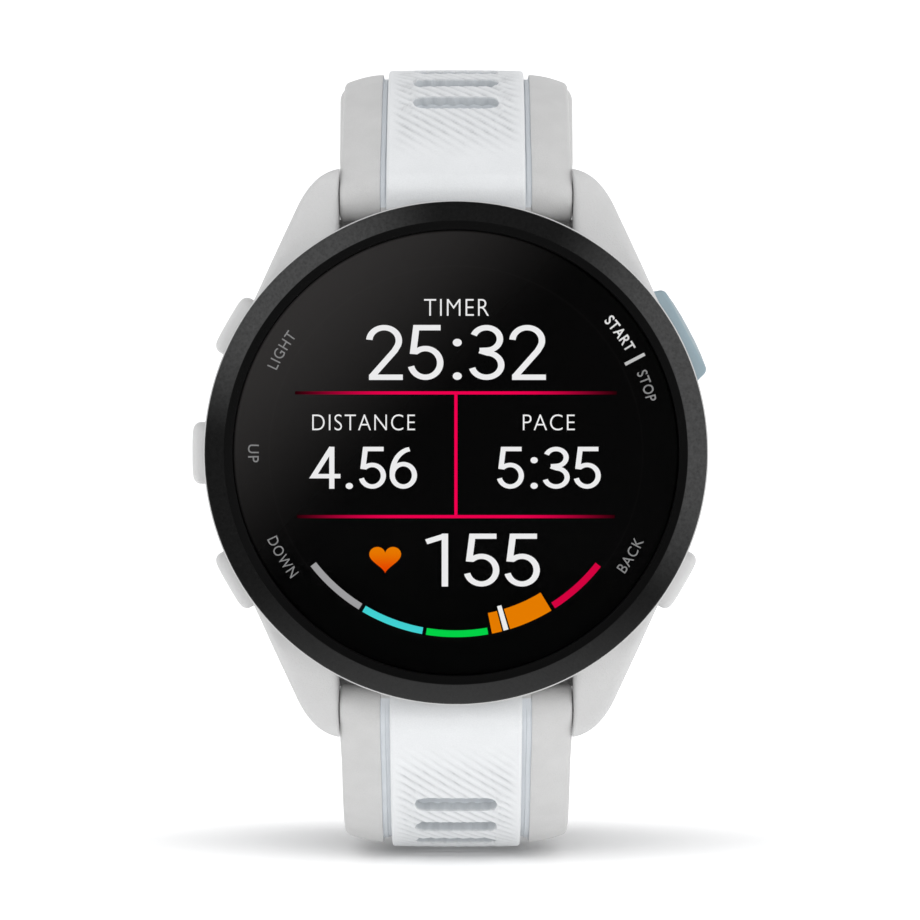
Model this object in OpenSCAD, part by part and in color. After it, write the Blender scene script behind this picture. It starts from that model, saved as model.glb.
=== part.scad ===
// GPS running watch with an open two-part strap. Millimetres. The display faces -Y, 12 o'clock is +Z,
// the wrist is on the +Y side. The origin is the middle of the sensor window's flat crown.

/* [Case] */
// outer width of the mid case
case_dia = 43.6; // [40:0.1:52.5]
// sensor crown to bezel front
case_height = 11.6; // [11.2:0.1:13]
// wall of the mid case
wall = 3.2; // [3:0.1:3.6]
// depth of the bezel ring
bezel_height = 2.2; // [2:0.1:2.4]
// bezel's inset from the mid case
bezel_inset = 0.3; // [0.1:0.1:0.6]
// width of the flat top of the bezel
bezel_flat = 1.4; // [1:0.1:1.7]
// thickness of the cover lens
lens_thick = 0.9; // [0.7:0.1:1]
// thickness of the display panel
panel_thick = 1.4; // [1:0.1:1.6]
// gap around fixed fitted parts
fit_gap = 0.05; // [0.02:0.01:0.08]

/* [Back] */
// back plane of the case above the sensor crown
back_plane = 1.2; // [1:0.1:1.3]
// thickness of the back cover
cover_thick = 1.2; // [1.1:0.1:1.4]
// width of the sensor window
window_dia = 15.6; // [13:0.1:16]
// case screw shank
screw_dia = 1; // [0.9:0.1:1.2]
// width of the battery
battery_dia = 26; // [22:0.5:27]
// thickness of the battery
battery_thick = 3; // [2.4:0.1:3.1]

/* [Buttons] */
// height of the button line above the sensor crown
button_z = 5.5; // [5.2:0.1:5.8]
// height of the caps
cap_height = 3.1; // [2.6:0.1:3.2]
// length of the four round-ended caps
cap_length = 5.4; // [4.6:0.1:6]
// length of the start cap at its outer face
start_length = 7.6; // [6.5:0.1:8]
// how far the caps stand out from the mid case
cap_reach = 1.05; // [0.8:0.05:1.2]
// travel of a button
stroke = 0.5; // [0.3:0.05:0.5]
// gap round each cap
cap_gap = 0.15; // [0.12:0.01:0.2]
// width of the button stems
stem_dia = 2.1; // [1.8:0.1:2.2]
// gap round each stem
stem_gap = 0.08; // [0.05:0.01:0.1]

/* [Strap] */
// strap width
strap_width = 20; // [17:0.1:22]
// strap thickness
strap_thick = 2.6; // [2.2:0.1:3.1]
// width of the raised inlay
inlay_width = 11.5; // [9:0.1:12]
// how far the inlay stands out
inlay_raise = 0.45; // [0.3:0.05:0.6]
// width of the groove beside the inlay
groove_width = 0.65; // [0.4:0.05:0.8]
// slot width
slot_width = 7.4; // [6.4:0.1:8]
// slot length
slot_length = 1.9; // [1.6:0.1:2.2]
// distance between slots
slot_pitch = 3.8; // [3.6:0.1:4.4]
// lug to the first slot
first_slot = 9.2; // [8.6:0.1:10]
// number of slots in the upper half
upper_slots = 6; // [3:1:6]
// number of slots in the lower half
lower_slots = 21; // [8:1:21]
// radius of the upper half's first bend
upper_radius = 18.1; // [18:0.1:20]
// radius of the lower half's first bend
lower_radius = 20.3; // [20:0.1:22]
// length of the lower half along its middle
lower_length = 98; // [92:1:98]
// gap between strap and lug
lug_gap = 0.15; // [0.12:0.01:0.25]

/* [Spring bars] */
// spring bar tube width
bar_dia = 1.5; // [1.3:0.1:1.6]
// spring bar tip width
tip_dia = 0.8; // [0.7:0.05:0.9]
// how deep the tips reach into the lugs
tip_reach = 1; // [0.8:0.1:1.1]
// running gap round bars and tips
pin_gap = 0.05; // [0.03:0.01:0.08]
// travel of the quick-release lever
release_travel = 1.2; // [1.1:0.05:1.25]

/* [Buckle] */
// inside length of the buckle frame
buckle_reach = 9.6; // [9:0.1:10.5]
// thickness of the buckle frame
buckle_thick = 2.4; // [2.2:0.1:2.8]
// width of each buckle arm
buckle_arm = 2; // [1.6:0.1:2.4]
// tongue width
tongue_width = 5.4; // [4.6:0.1:6]
// keeper length along the strap
keeper_length = 5; // [4:0.1:6]
// keeper wall
keeper_wall = 1; // [0.9:0.1:1.3]
// gap round the sliding keeper
keeper_gap = 0.2; // [0.15:0.01:0.25]

/* [Hidden] */
$fn = 64;
case_r = case_dia / 2;
cavity_r = case_r - wall;
ledge_r = cavity_r - 3.7;
cover_r = cavity_r - 1;
board_r = cavity_r - 1;
lens_r = case_r - 2.75;
panel_r = lens_r - 2.05;
frame_r = panel_r + 0.5;
bezel_r = case_r - bezel_inset;
window_r = window_dia / 2;
cover_top = back_plane + cover_thick;
ledge_top = 4;
board_low = 6.5;
board_top = 7.1;
body_top = case_height - bezel_height;
lens_low = case_height - 0.3 - lens_thick;
panel_low = lens_low - panel_thick;
frame_low = panel_low - 0.8;
frame_in = panel_r - 2;
pin_y = case_r + 0.8;
pin_z = 4.2;
barrel_r = 2.6;
lug_in = strap_width / 2 + lug_gap;
lug_nose = 2.1;
tip_x = lug_in + tip_reach;
bar_end = strap_width / 2 - 0.3;
cap_in = case_r - 0.75;
cap_out = case_r + cap_reach;
stem_in = cavity_r - 0.85;
switch_face = stem_in - stroke - 0.05;
switch_depth = 1.3;
seal_mid = cavity_r + 1;
cover_screw_r = ledge_r + 0.85;
chassis_screw_r = ledge_r + 0.7;
chassis_in = battery_dia / 2 + 0.3;
chassis_out = cavity_r - 0.8;
battery_low = cover_top + 0.5;
lead = 1.4;
taper = 9;
upper_bend = [[lead, 0], [upper_radius * PI / 3, upper_radius], [8 * PI, 120], [34 * PI / 6, 34]];
lower_bend = [[lead, 0], [lower_radius * PI / 3, lower_radius], [8 * PI, 120], [32 * PI * 44 / 180, 32], [60, 60]];
upper_length = lead + upper_radius * PI / 3 + 8 * PI + 34 * PI / 6;
buckle_end = upper_length + 2.6;
path_start = [pin_y, pin_z, -30];
band_half = strap_thick / 2;
fork_gap = tongue_width + 0.6;
frame_in_x = strap_width / 2 + 0.3;
frame_out_x = frame_in_x + buckle_arm;
keeper_fixed_at = buckle_end - 8.4;
keeper_sliding_at = buckle_end - 16;
inlay_sink = 0.5;
small_buttons = [150, 180, 210, 330];
start_angle = 28.5;
button_angles = concat(small_buttons, [start_angle]);

// the parts are drawn lying on their back and stood up here
module upright() {
  rotate([90, 0, 0]) children();
}

module at_angle(angle, radius) {
  rotate([0, 0, angle]) translate([radius, 0, 0]) children();
}

module ring(outer, inner, low, high) {
  rotate_extrude() polygon([[inner, low], [outer, low], [outer, high], [inner, high]]);
}

// a solid drawn in the side view, as wide as asked
module sideways(width) {
  rotate([90, 0, 90]) linear_extrude(width, center = true) children();
}

// one stretch of a strap's middle line: a straight, or an arc that turns toward the wrist
function advance(p, d, r) =
  r == 0
    ? [p[0] + d * cos(p[2]), p[1] + d * sin(p[2]), p[2]]
    : let (turned = p[2] - d / r * 180 / PI)
      [p[0] + r * (sin(p[2]) - sin(turned)), p[1] + r * (cos(turned) - cos(p[2])), turned];

function follow(p, bend, s, k = 0) =
  s <= bend[k][0] || k == len(bend) - 1
    ? advance(p, s, bend[k][1])
    : follow(advance(p, bend[k][0], bend[k][1]), bend, s - bend[k][0], k + 1);

function along(bend, s) = follow(path_start, bend, s);

// half the strap's thickness, full at the bar and thinning away from it
function half_thick(s) = band_half + (2.1 - band_half) * pow(max(0, 1 - s / taper), 2);

function face_point(bend, s, side, extra) =
  let (p = along(bend, s), off = side * half_thick(s) + extra)
  [p[0] - off * sin(p[2]), p[1] + off * cos(p[2])];

// stations lie on one common grid, so that layers drawn separately meet face to face
function face_line(bend, from, to, side, extra) =
  [for (s = concat([from], [for (k = [ceil(from / 1.6 + 0.1):floor(to / 1.6 - 0.1)]) k * 1.6], [to]))
    face_point(bend, s, side, extra)];

function backward(list) = [for (i = [len(list) - 1:-1:0]) list[i]];

// a layer of a strap between two lines set off from its faces
module layer(bend, from, to, low_side, low_extra, high_side, high_extra, width) {
  sideways(width)
    polygon(concat(
      face_line(bend, from, to, low_side, low_extra),
      backward(face_line(bend, from, to, high_side, high_extra))
    ));
}

module at_path(bend, s) {
  p = along(bend, s);
  translate([0, p[0], p[1]]) rotate([p[2], 0, 0]) children();
}

module slots(bend, count) {
  for (i = [0:count - 1])
    at_path(bend, first_slot + i * slot_pitch) cube([slot_width, slot_length, 9], center = true);
}

module across(radius, width) {
  rotate([0, 90, 0]) cylinder(r = radius, h = width, center = true);
}

module at_pin() {
  translate([0, pin_y, pin_z]) children();
}

// the strap half with its edges stepped in, its barrel, its grooves and the pocket for the inlay
module strap_half(bend, length) {
  difference() {
    union() {
      layer(bend, 0, length, -1, 0.45, 1, -0.75, strap_width);
      layer(bend, 0, length, -1, 0.2, 1, -0.4, strap_width - 0.9);
      layer(bend, 0, length, -1, 0, 1, -0.12, strap_width - 2.4);
      at_pin() across(barrel_r - 0.3, strap_width);
      at_pin() across(barrel_r - 0.1, strap_width - 1.6);
    }
    layer(bend, 1.2, length + 1, 1, -inlay_sink, 1, 2, inlay_width);
    for (side = [-1, 1])
      translate([side * (inlay_width + groove_width) / 2, 0, 0])
        layer(bend, 1.2, length + 1, 1, -inlay_sink, 1, 2, groove_width);
    at_pin() across(bar_dia / 2 + pin_gap, strap_width + 2);
    translate([bar_end - 4.2, pin_y - 0.75, pin_z - barrel_r - 1])
      cube([3.4, 1.5, barrel_r + 1]);
  }
}

module inlay(bend, length, count) {
  difference() {
    layer(bend, 1.4, length, 1, -inlay_sink, 1, inlay_raise, inlay_width);
    slots(bend, count);
  }
}

// spring bar tube with one fixed tip; the other tip slides and carries the release lever
module spring_bar() {
  at_pin() difference() {
    union() {
      across(bar_dia / 2, 2 * bar_end);
      translate([-(bar_end + tip_x) / 2, 0, 0]) across(tip_dia / 2, tip_x - bar_end);
    }
    translate([bar_end - 3, 0, 0]) across(tip_dia / 2 + pin_gap, 6.4);
    translate([bar_end - 4, -0.4, -2]) cube([2.6, 0.8, 2]);
  }
}

module release() {
  at_pin() union() {
    translate([(bar_end - 2.6 + tip_x) / 2, 0, 0]) across(tip_dia / 2, tip_x - bar_end + 2.6);
    translate([bar_end - 2.3, -0.3, -barrel_r - 0.2]) cube([0.6, 0.6, barrel_r + 0.2]);
    translate([bar_end - 2.6, -0.6, -barrel_r - 0.5]) cube([1.2, 1.2, 0.4]);
  }
}

// plan of a cap: ends rounded by a chamfered corner, or slanted for the start button
module cap_plan(long, slant, grow) {
  half = long / 2 + grow;
  base = long / 2 + slant * 1.1 + grow;
  corner = slant > 0 ? 0.25 : 0.8;
  inner = cap_in - (grow > 0 ? stroke + cap_gap : 0);
  outer = cap_out + (grow > 0 ? 2 : 0);
  polygon([
    [inner, -base], [cap_out - 1 - corner, -base + slant * 0.2], [cap_out - corner, -half],
    [cap_out - corner * 0.3, -half + corner * 0.3], [outer, -half + corner],
    [outer, half - corner], [cap_out - corner * 0.3, half - corner * 0.3],
    [cap_out - corner, half], [cap_out - 1 - corner, base - slant * 0.2], [inner, base]
  ]);
}

module cap(angle, long, slant) {
  rotate([0, 0, angle]) intersection() {
    translate([0, 0, button_z - cap_height]) linear_extrude(2 * cap_height) cap_plan(long, slant, 0);
    rotate_extrude(angle = 60, start = -30)
      polygon([
        [cap_in - 2, button_z - cap_height / 2], [cap_out - 0.45, button_z - cap_height / 2],
        [cap_out - 0.12, button_z - cap_height / 2 + 0.18],
        [cap_out, button_z - cap_height / 2 + 0.55], [cap_out, button_z + cap_height / 2 - 0.55],
        [cap_out - 0.12, button_z + cap_height / 2 - 0.18],
        [cap_out - 0.45, button_z + cap_height / 2], [cap_in - 2, button_z + cap_height / 2]
      ]);
  }
}

module cap_pocket(angle, long, slant) {
  inner = cap_in - stroke - cap_gap;
  base = long / 2 + slant * 1.3 + cap_gap;
  rotate([0, 0, angle]) translate([inner, -base, button_z - cap_height / 2 - cap_gap])
    cube([6, 2 * base, cap_height + 2 * cap_gap]);
}

module stem(angle) {
  rotate([0, 0, angle]) translate([0, 0, button_z]) rotate([0, 90, 0]) difference() {
    translate([0, 0, stem_in]) cylinder(d = stem_dia, h = cap_in - stem_in);
    translate([0, 0, seal_mid - 0.3]) ring(stem_dia, stem_dia / 2 - 0.3, 0, 0.6);
  }
}

module seal(angle) {
  rotate([0, 0, angle]) translate([0, 0, button_z]) rotate([0, 90, 0])
    translate([0, 0, seal_mid - 0.25]) ring(stem_dia / 2 + stem_gap / 2, stem_dia / 2 - 0.3, 0, 0.5);
}

// lug outline in plan: straight off the case, then rounded into the tip
function blend_curve(a, b, c, count) =
  [for (i = [0:count]) let (t = i / count) (1 - t) * (1 - t) * a + 2 * t * (1 - t) * b + t * t * c];

module lug_plan() {
  polygon(concat(
    [[lug_in, pin_y - 10.6], [lug_in, pin_y + 2.05]],
    blend_curve([lug_in + 0.15, pin_y + lug_nose], [lug_in + 2.2, pin_y + 1.75],
      [lug_in + 3.7, pin_y - 1.5], 8),
    [[case_r * cos(38.6) + 0.15, case_r * sin(38.6) + 0.1], [case_r * 0.66, pin_y - 10.6]]
  ));
}

module lug_side() {
  polygon(concat(
    [[pin_y - 12, back_plane + 0.5], [pin_y - 3, back_plane + 0.5]],
    [for (a = [-80:14:60]) [pin_y + lug_nose * cos(a), pin_z + lug_nose * sin(a)]],
    [[pin_y - 2.6, pin_z + 3], [pin_y - 5.4, body_top - 0.9], [pin_y - 12, body_top - 0.6]]
  ));
}

module mid_case() {
  color([0.80, 0.80, 0.79]) upright() difference() {
    union() {
      rotate_extrude()
        polygon([
          [0, back_plane], [case_r - 2.4, back_plane], [case_r - 0.5, back_plane + 1.15],
          [case_r, back_plane + 2.3], [case_r, body_top - 0.45], [case_r - 0.25, body_top],
          [0, body_top]
        ]);
      for (x = [0, 1], y = [0, 1])
        mirror([x, 0, 0]) mirror([0, y, 0]) intersection() {
          linear_extrude(case_height) lug_plan();
          translate([15, 0, 0]) sideways(24) lug_side();
        }
    }
    rotate_extrude()
      polygon([
        [0, 0], [cover_r + fit_gap, 0], [cover_r + fit_gap, cover_top], [ledge_r, cover_top],
        [ledge_r, ledge_top], [cavity_r, ledge_top], [cavity_r, case_height], [0, case_height]
      ]);
    ring(cover_r - 0.3, cover_r - 0.9, cover_top - 0.2, cover_top + 0.5);
    for (y = [0, 1])
      mirror([0, y, 0]) at_pin() {
        across(barrel_r + 0.15, 2 * lug_in);
        across(tip_dia / 2 + pin_gap, 2 * tip_x + 0.3);
      }
    for (a = small_buttons) cap_pocket(a, cap_length, 0);
    cap_pocket(start_angle, start_length, 0.5);
    for (a = button_angles)
      rotate([0, 0, a]) translate([0, 0, button_z]) rotate([0, 90, 0])
        translate([0, 0, cavity_r - 2]) cylinder(d = stem_dia + 2 * stem_gap, h = wall + 1);
    for (a = [45:90:315])
      at_angle(a, cover_screw_r) translate([0, 0, cover_top - 0.5]) cylinder(d = screw_dia, h = 1.9);
  }
}

module bezel() {
  color([0.13, 0.13, 0.14]) upright() rotate_extrude()
    polygon([
      [bezel_r, body_top], [bezel_r, case_height - 0.4], [bezel_r - 0.12, case_height - 0.12],
      [bezel_r - 0.4, case_height], [bezel_r - 0.4 - bezel_flat, case_height],
      [lens_r + fit_gap, case_height - 0.32], [lens_r + fit_gap, lens_low - 0.3],
      [lens_r - 1.15, lens_low - 0.3], [lens_r - 1.15, body_top]
    ]);
}

module lens() {
  color([0.05, 0.05, 0.06]) upright() rotate_extrude()
    polygon([
      [0, lens_low], [lens_r, lens_low], [lens_r, lens_low + lens_thick - 0.12],
      [lens_r - 0.12, lens_low + lens_thick], [0, lens_low + lens_thick]
    ]);
}

module lens_gasket() {
  color([0.08, 0.08, 0.08]) upright() ring(lens_r - 0.1, lens_r - 1.05, lens_low - 0.3, lens_low);
}

module display_panel() {
  color([0.02, 0.02, 0.03]) upright()
    translate([0, 0, panel_low]) cylinder(r = panel_r, h = panel_thick);
}

module display_frame() {
  color([0.25, 0.25, 0.26]) upright() union() {
    ring(frame_r, frame_in, frame_low, panel_low);
    for (a = [45:90:315])
      at_angle(a, board_r - 0.8)
        translate([-0.5, -1, board_top]) cube([1, 2, frame_low - board_top + 0.2]);
  }
}

module display_flex() {
  color([0.75, 0.5, 0.15]) upright() sideways(5)
    polygon([
      [-panel_r - 0.01, panel_low + 0.3], [-frame_r - 0.25, panel_low + 0.3],
      [-frame_r - 0.25, board_top], [-board_r + 1, board_top], [-board_r + 1, board_top + 0.15],
      [-frame_r - 0.1, board_top + 0.15], [-frame_r - 0.1, panel_low + 0.15],
      [-panel_r - 0.01, panel_low + 0.15]
    ]);
}

module main_board() {
  color([0.05, 0.3, 0.18]) upright() difference() {
    translate([0, 0, board_low]) cylinder(r = board_r, h = board_top - board_low);
    for (a = [90, 240, 300])
      at_angle(a, chassis_screw_r) translate([0, 0, board_low - 1]) cylinder(d = 1.2, h = 3);
  }
}

module shield_cans() {
  color([0.7, 0.7, 0.72]) upright() {
    translate([-10.5, -5, board_top]) cube([10, 11, 0.9]);
    translate([1.5, 0.5, board_top]) cube([9, 8, 0.9]);
  }
}

module board_chips() {
  color([0.1, 0.1, 0.1]) upright() {
    translate([2, -6.5, board_top]) cube([5, 5, 0.7]);
    translate([8.5, -5, board_top]) cube([3, 3.4, 0.6]);
    translate([-3, -10.5, board_top]) cube([4, 3, 0.6]);
    translate([-6, 8, board_top]) cube([3.2, 2.5, 0.6]);
  }
}

module gps_antenna() {
  color([0.8, 0.6, 0.3]) upright() rotate([0, 0, 50]) rotate_extrude(angle = 80)
    polygon([
      [frame_r, frame_low], [frame_r + 0.3, frame_low], [frame_r + 0.3, panel_low],
      [frame_r, panel_low]
    ]);
}

module barometer() {
  color([0.75, 0.75, 0.76]) upright()
    at_angle(120, chassis_screw_r) translate([0, 0, board_low - 0.9]) cylinder(r = 1.1, h = 0.9);
}

module battery() {
  color([0.55, 0.57, 0.6]) upright()
    translate([0, 0, battery_low]) cylinder(d = battery_dia, h = battery_thick);
}

module battery_pad() {
  color([0.2, 0.2, 0.2]) upright()
    translate([0, 0, cover_top]) cylinder(r = window_r - 0.4, h = battery_low - cover_top);
}

module chassis() {
  color([0.16, 0.16, 0.17]) upright() difference() {
    ring(chassis_out, chassis_in, ledge_top, board_low);
    for (a = button_angles)
      at_angle(a, switch_face - switch_depth - 0.2) translate([0, -2, ledge_top - 1]) cube([5, 4, 4]);
    translate([-4.1, -chassis_out - 1, ledge_top - 1]) cube([8.2, 4.3, 4]);
    at_angle(120, chassis_screw_r) translate([0, 0, ledge_top - 1]) cylinder(r = 1.4, h = 4);
    for (a = [90, 240, 300])
      at_angle(a, chassis_screw_r) translate([0, 0, board_low - 1.6]) cylinder(d = screw_dia, h = 2);
  }
}

module chassis_screws() {
  color([0.6, 0.6, 0.62]) upright() for (a = [90, 240, 300])
    at_angle(a, chassis_screw_r) union() {
      translate([0, 0, board_low - 1.4]) cylinder(d = screw_dia, h = 2.4);
      translate([0, 0, board_top]) cylinder(r = 0.9, h = 0.55);
    }
}

module vibration_motor() {
  color([0.72, 0.72, 0.74]) upright()
    translate([-3.7, -chassis_out + 0.9, ledge_top]) cube([7.4, 2.1, 2.2]);
}

module buzzer() {
  color([0.8, 0.65, 0.3]) upright()
    translate([0, ledge_r - 1.9, cover_top]) cylinder(r = 1.7, h = 0.35);
}

module button_switches() {
  color([0.3, 0.3, 0.31]) upright() for (a = button_angles)
    at_angle(a, switch_face - switch_depth)
      translate([0, -1.7, board_low - 1.9]) cube([switch_depth, 3.4, 1.9]);
}

module case_gasket() {
  color([0.1, 0.1, 0.1]) upright() ring(cover_r - 0.35, cover_r - 0.85, cover_top, cover_top + 0.45);
}

module back_cover() {
  color([0.1, 0.1, 0.11]) upright() difference() {
    rotate_extrude()
      polygon([
        [cover_r, back_plane], [cover_r, cover_top], [window_r + 0.5, cover_top],
        [window_r + 0.5, cover_top - 0.5], [window_r - 0.8, cover_top - 0.5],
        [window_r - 0.8, 0.9], [window_r + fit_gap, 0.9], [window_r + fit_gap, 0.15],
        [window_r + 1.2, 0.15], [window_r + 3.4, back_plane]
      ]);
    for (a = [45:90:315])
      at_angle(a, cover_screw_r) {
        translate([0, 0, back_plane - 1]) cylinder(d = screw_dia + 0.1, h = 3);
        translate([0, 0, back_plane - 1]) cylinder(r = 0.9, h = 1.6);
      }
    translate([-3.3, -ledge_r + 0.5, back_plane - 1]) cube([6.6, 2.4, 4]);
  }
}

module back_screws() {
  color([0.7, 0.7, 0.72]) upright() for (a = [45:90:315])
    at_angle(a, cover_screw_r) difference() {
      union() {
        translate([0, 0, back_plane + 0.05]) cylinder(r = 0.85, h = 0.55);
        translate([0, 0, back_plane + 0.3]) cylinder(d = screw_dia, h = cover_thick + 1);
      }
      translate([0, 0, back_plane - 1]) cylinder(r = 0.4, h = 1.3, $fn = 6);
    }
}

module sensor_window() {
  color([0.04, 0.04, 0.05]) upright() rotate_extrude()
    polygon([
      [0, 0], [window_r - 0.5, 0], [window_r, 0.2], [window_r, 0.9], [0, 0.9]
    ]);
}

module sensor_board() {
  color([0.06, 0.06, 0.07]) upright()
    translate([0, 0, cover_top - 0.5]) cylinder(r = window_r + 0.4, h = 0.5);
}

module sensor_leds() {
  color([0.3, 0.8, 0.4]) upright() for (a = [0:60:300])
    at_angle(a, 4.2)
      translate([-0.6, -0.8, cover_top - 1.05]) cube([1.2, 1.6, 0.55]);
}

module sensor_barrier() {
  color([0.02, 0.02, 0.02]) upright() translate([0, 0, 0.9]) linear_extrude(cover_top - 1.4) {
    difference() {
      circle(window_r - 0.9);
      circle(window_r - 1.5);
    }
    difference() {
      circle(2.6);
      circle(2.1);
    }
    for (a = [30:60:330])
      rotate(a) translate([2.3, -0.2]) square([window_r - 3.4, 0.4]);
  }
}

module charge_insert() {
  color([0.07, 0.07, 0.07]) upright() difference() {
    translate([-3.25, -ledge_r + 0.55, back_plane + 0.1]) cube([6.5, 2.3, cover_thick - 0.1]);
    translate([-2.8, -ledge_r + 0.95, back_plane - 0.5]) cube([5.6, 1.5, 1.1]);
    for (x = [-2.1:1.4:2.1])
      translate([x, -ledge_r + 1.7, back_plane]) cylinder(r = 0.3, h = 3);
  }
}

module charge_contacts() {
  color([0.85, 0.68, 0.3]) upright() for (x = [-2.1:1.4:2.1])
    translate([x, -ledge_r + 1.7, back_plane + 0.25]) cylinder(r = 0.3, h = cover_thick);
}

module cap_light() {
  color([0.79, 0.79, 0.78]) upright() cap(150, cap_length, 0);
}

module cap_up() {
  color([0.79, 0.79, 0.78]) upright() cap(180, cap_length, 0);
}

module cap_down() {
  color([0.79, 0.79, 0.78]) upright() cap(210, cap_length, 0);
}

module cap_back() {
  color([0.79, 0.79, 0.78]) upright() cap(330, cap_length, 0);
}

module cap_start() {
  color([0.52, 0.6, 0.64]) upright() cap(start_angle, start_length, 0.5);
}

module stem_light() {
  color([0.7, 0.7, 0.71]) upright() stem(150);
}

module stem_up() {
  color([0.7, 0.7, 0.71]) upright() stem(180);
}

module stem_down() {
  color([0.7, 0.7, 0.71]) upright() stem(210);
}

module stem_back() {
  color([0.7, 0.7, 0.71]) upright() stem(330);
}

module stem_start() {
  color([0.7, 0.7, 0.71]) upright() stem(start_angle);
}

module seal_light() {
  color([0.1, 0.1, 0.1]) upright() seal(150);
}

module seal_up() {
  color([0.1, 0.1, 0.1]) upright() seal(180);
}

module seal_down() {
  color([0.1, 0.1, 0.1]) upright() seal(210);
}

module seal_back() {
  color([0.1, 0.1, 0.1]) upright() seal(330);
}

module seal_start() {
  color([0.1, 0.1, 0.1]) upright() seal(start_angle);
}

// strap end: a fork round the tongue, on a barrel that turns on the buckle bar
module strap_upper() {
  color([0.79, 0.79, 0.8]) upright() difference() {
    union() {
      strap_half(upper_bend, upper_length);
      at_path(upper_bend, buckle_end) union() {
        across(1.75, strap_width);
        translate([0, -2, 0]) cube([strap_width - 1, 4, 2 * band_half - 0.6], center = true);
      }
    }
    slots(upper_bend, upper_slots);
    at_path(upper_bend, buckle_end) union() {
      across(bar_dia / 2 + pin_gap, strap_width + 2);
      translate([0, 0, 0]) cube([fork_gap, 5.4, 6], center = true);
    }
  }
}

module inlay_upper() {
  color([0.9, 0.91, 0.92]) upright() inlay(upper_bend, upper_length - 8, upper_slots);
}

module bar_upper() {
  color([0.72, 0.72, 0.74]) upright() spring_bar();
}

module release_upper() {
  color([0.72, 0.72, 0.74]) upright() release();
}

// the tail is rounded at its end
module strap_lower() {
  corner = strap_width / 2 - 2;
  color([0.79, 0.79, 0.8]) upright() mirror([0, 1, 0]) difference() {
    strap_half(lower_bend, lower_length);
    slots(lower_bend, lower_slots);
    at_path(lower_bend, lower_length) for (side = [0, 1])
      mirror([side, 0, 0]) translate([0, 0, -4]) linear_extrude(8)
        polygon(concat(
          [[strap_width, 1], [2, 1]],
          [for (a = [88:-8:0]) [2 + corner * sin(90 - a) + 0.01, corner * (sin(a) - 1)]],
          [[strap_width, -corner]]
        ));
  }
}

module inlay_lower() {
  color([0.9, 0.91, 0.92]) upright() mirror([0, 1, 0])
    inlay(lower_bend, lower_length - 2.4, lower_slots);
}

module bar_lower() {
  color([0.72, 0.72, 0.74]) upright() mirror([0, 1, 0]) spring_bar();
}

module release_lower() {
  color([0.72, 0.72, 0.74]) upright() mirror([0, 1, 0]) release();
}

// a U-shaped frame: two arms on the bar and a front bar that the tongue rests on
module buckle_frame() {
  front = buckle_reach + buckle_arm;
  color([0.7, 0.7, 0.71]) upright() at_path(upper_bend, buckle_end) difference() {
    translate([0, 0, -buckle_thick / 2]) linear_extrude(buckle_thick)
      polygon(concat(
        [[-frame_in_x, -1.6], [-frame_in_x, buckle_reach - 1], [-frame_in_x + 1, buckle_reach]],
        [[frame_in_x - 1, buckle_reach], [frame_in_x, buckle_reach - 1], [frame_in_x, -1.6]],
        [[frame_out_x, -1.6], [frame_out_x, front - 2.4], [frame_out_x - 0.7, front - 0.7]],
        [[frame_out_x - 2.4, front], [-frame_out_x + 2.4, front]],
        [[-frame_out_x + 0.7, front - 0.7], [-frame_out_x, front - 2.4], [-frame_out_x, -1.6]]
      ));
    across(bar_dia / 2, 2 * frame_out_x - 1.2);
  }
}

module buckle_bar() {
  color([0.65, 0.65, 0.66]) upright() at_path(upper_bend, buckle_end)
    across(bar_dia / 2, 2 * frame_out_x - 1.2);
}

module tongue() {
  top = buckle_thick / 2 + 0.12;
  front = buckle_reach + buckle_arm;
  color([0.72, 0.72, 0.73]) upright() at_path(upper_bend, buckle_end) difference() {
    union() {
      across(1.5, tongue_width);
      sideways(tongue_width)
        polygon([
          [0, -0.9], [3, -0.3], [buckle_reach - 0.6, top], [front + 0.1, top],
          [front + 0.1, top + 0.7], [buckle_reach - 0.4, top + 1], [3, 1.1], [0, 1.3]
        ]);
    }
    across(bar_dia / 2 + pin_gap, tongue_width + 2);
  }
}

// a loop round the strap with room above it for the other half's tail
module keeper_loop(gap, face_gap) {
  low = -band_half - face_gap;
  high = band_half + strap_thick + inlay_raise * 2 + 0.3;
  inside = strap_width / 2 + gap;
  difference() {
    translate([-inside - keeper_wall, -keeper_length / 2, low - keeper_wall])
      cube([2 * (inside + keeper_wall), keeper_length, high - low + 2 * keeper_wall]);
    translate([-inside, -keeper_length, low]) cube([2 * inside, 2 * keeper_length, high - low]);
    for (side = [0, 1])
      mirror([side, 0, 0]) translate([inside + keeper_wall, 0, high + keeper_wall])
        rotate([0, 45, 0]) cube([1.4, 2 * keeper_length, 1.4], center = true);
  }
}

module keeper_fixed() {
  color([0.79, 0.79, 0.8]) upright() at_path(upper_bend, keeper_fixed_at) keeper_loop(0.01, 0.1);
}

module keeper_sliding() {
  color([0.79, 0.79, 0.8]) upright() at_path(upper_bend, keeper_sliding_at) keeper_loop(keeper_gap, keeper_gap);
}

mid_case();
bezel();
lens();
lens_gasket();
display_panel();
display_frame();
display_flex();
main_board();
shield_cans();
board_chips();
gps_antenna();
barometer();
battery();
battery_pad();
chassis();
chassis_screws();
vibration_motor();
buzzer();
button_switches();
case_gasket();
back_cover();
back_screws();
sensor_window();
sensor_board();
sensor_leds();
sensor_barrier();
charge_insert();
charge_contacts();
cap_light();
cap_up();
cap_down();
cap_back();
cap_start();
stem_light();
stem_up();
stem_down();
stem_back();
stem_start();
seal_light();
seal_up();
seal_down();
seal_back();
seal_start();
strap_upper();
inlay_upper();
bar_upper();
release_upper();
strap_lower();
inlay_lower();
bar_lower();
release_lower();
buckle_frame();
buckle_bar();
tongue();
keeper_fixed();
keeper_sliding();
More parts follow.
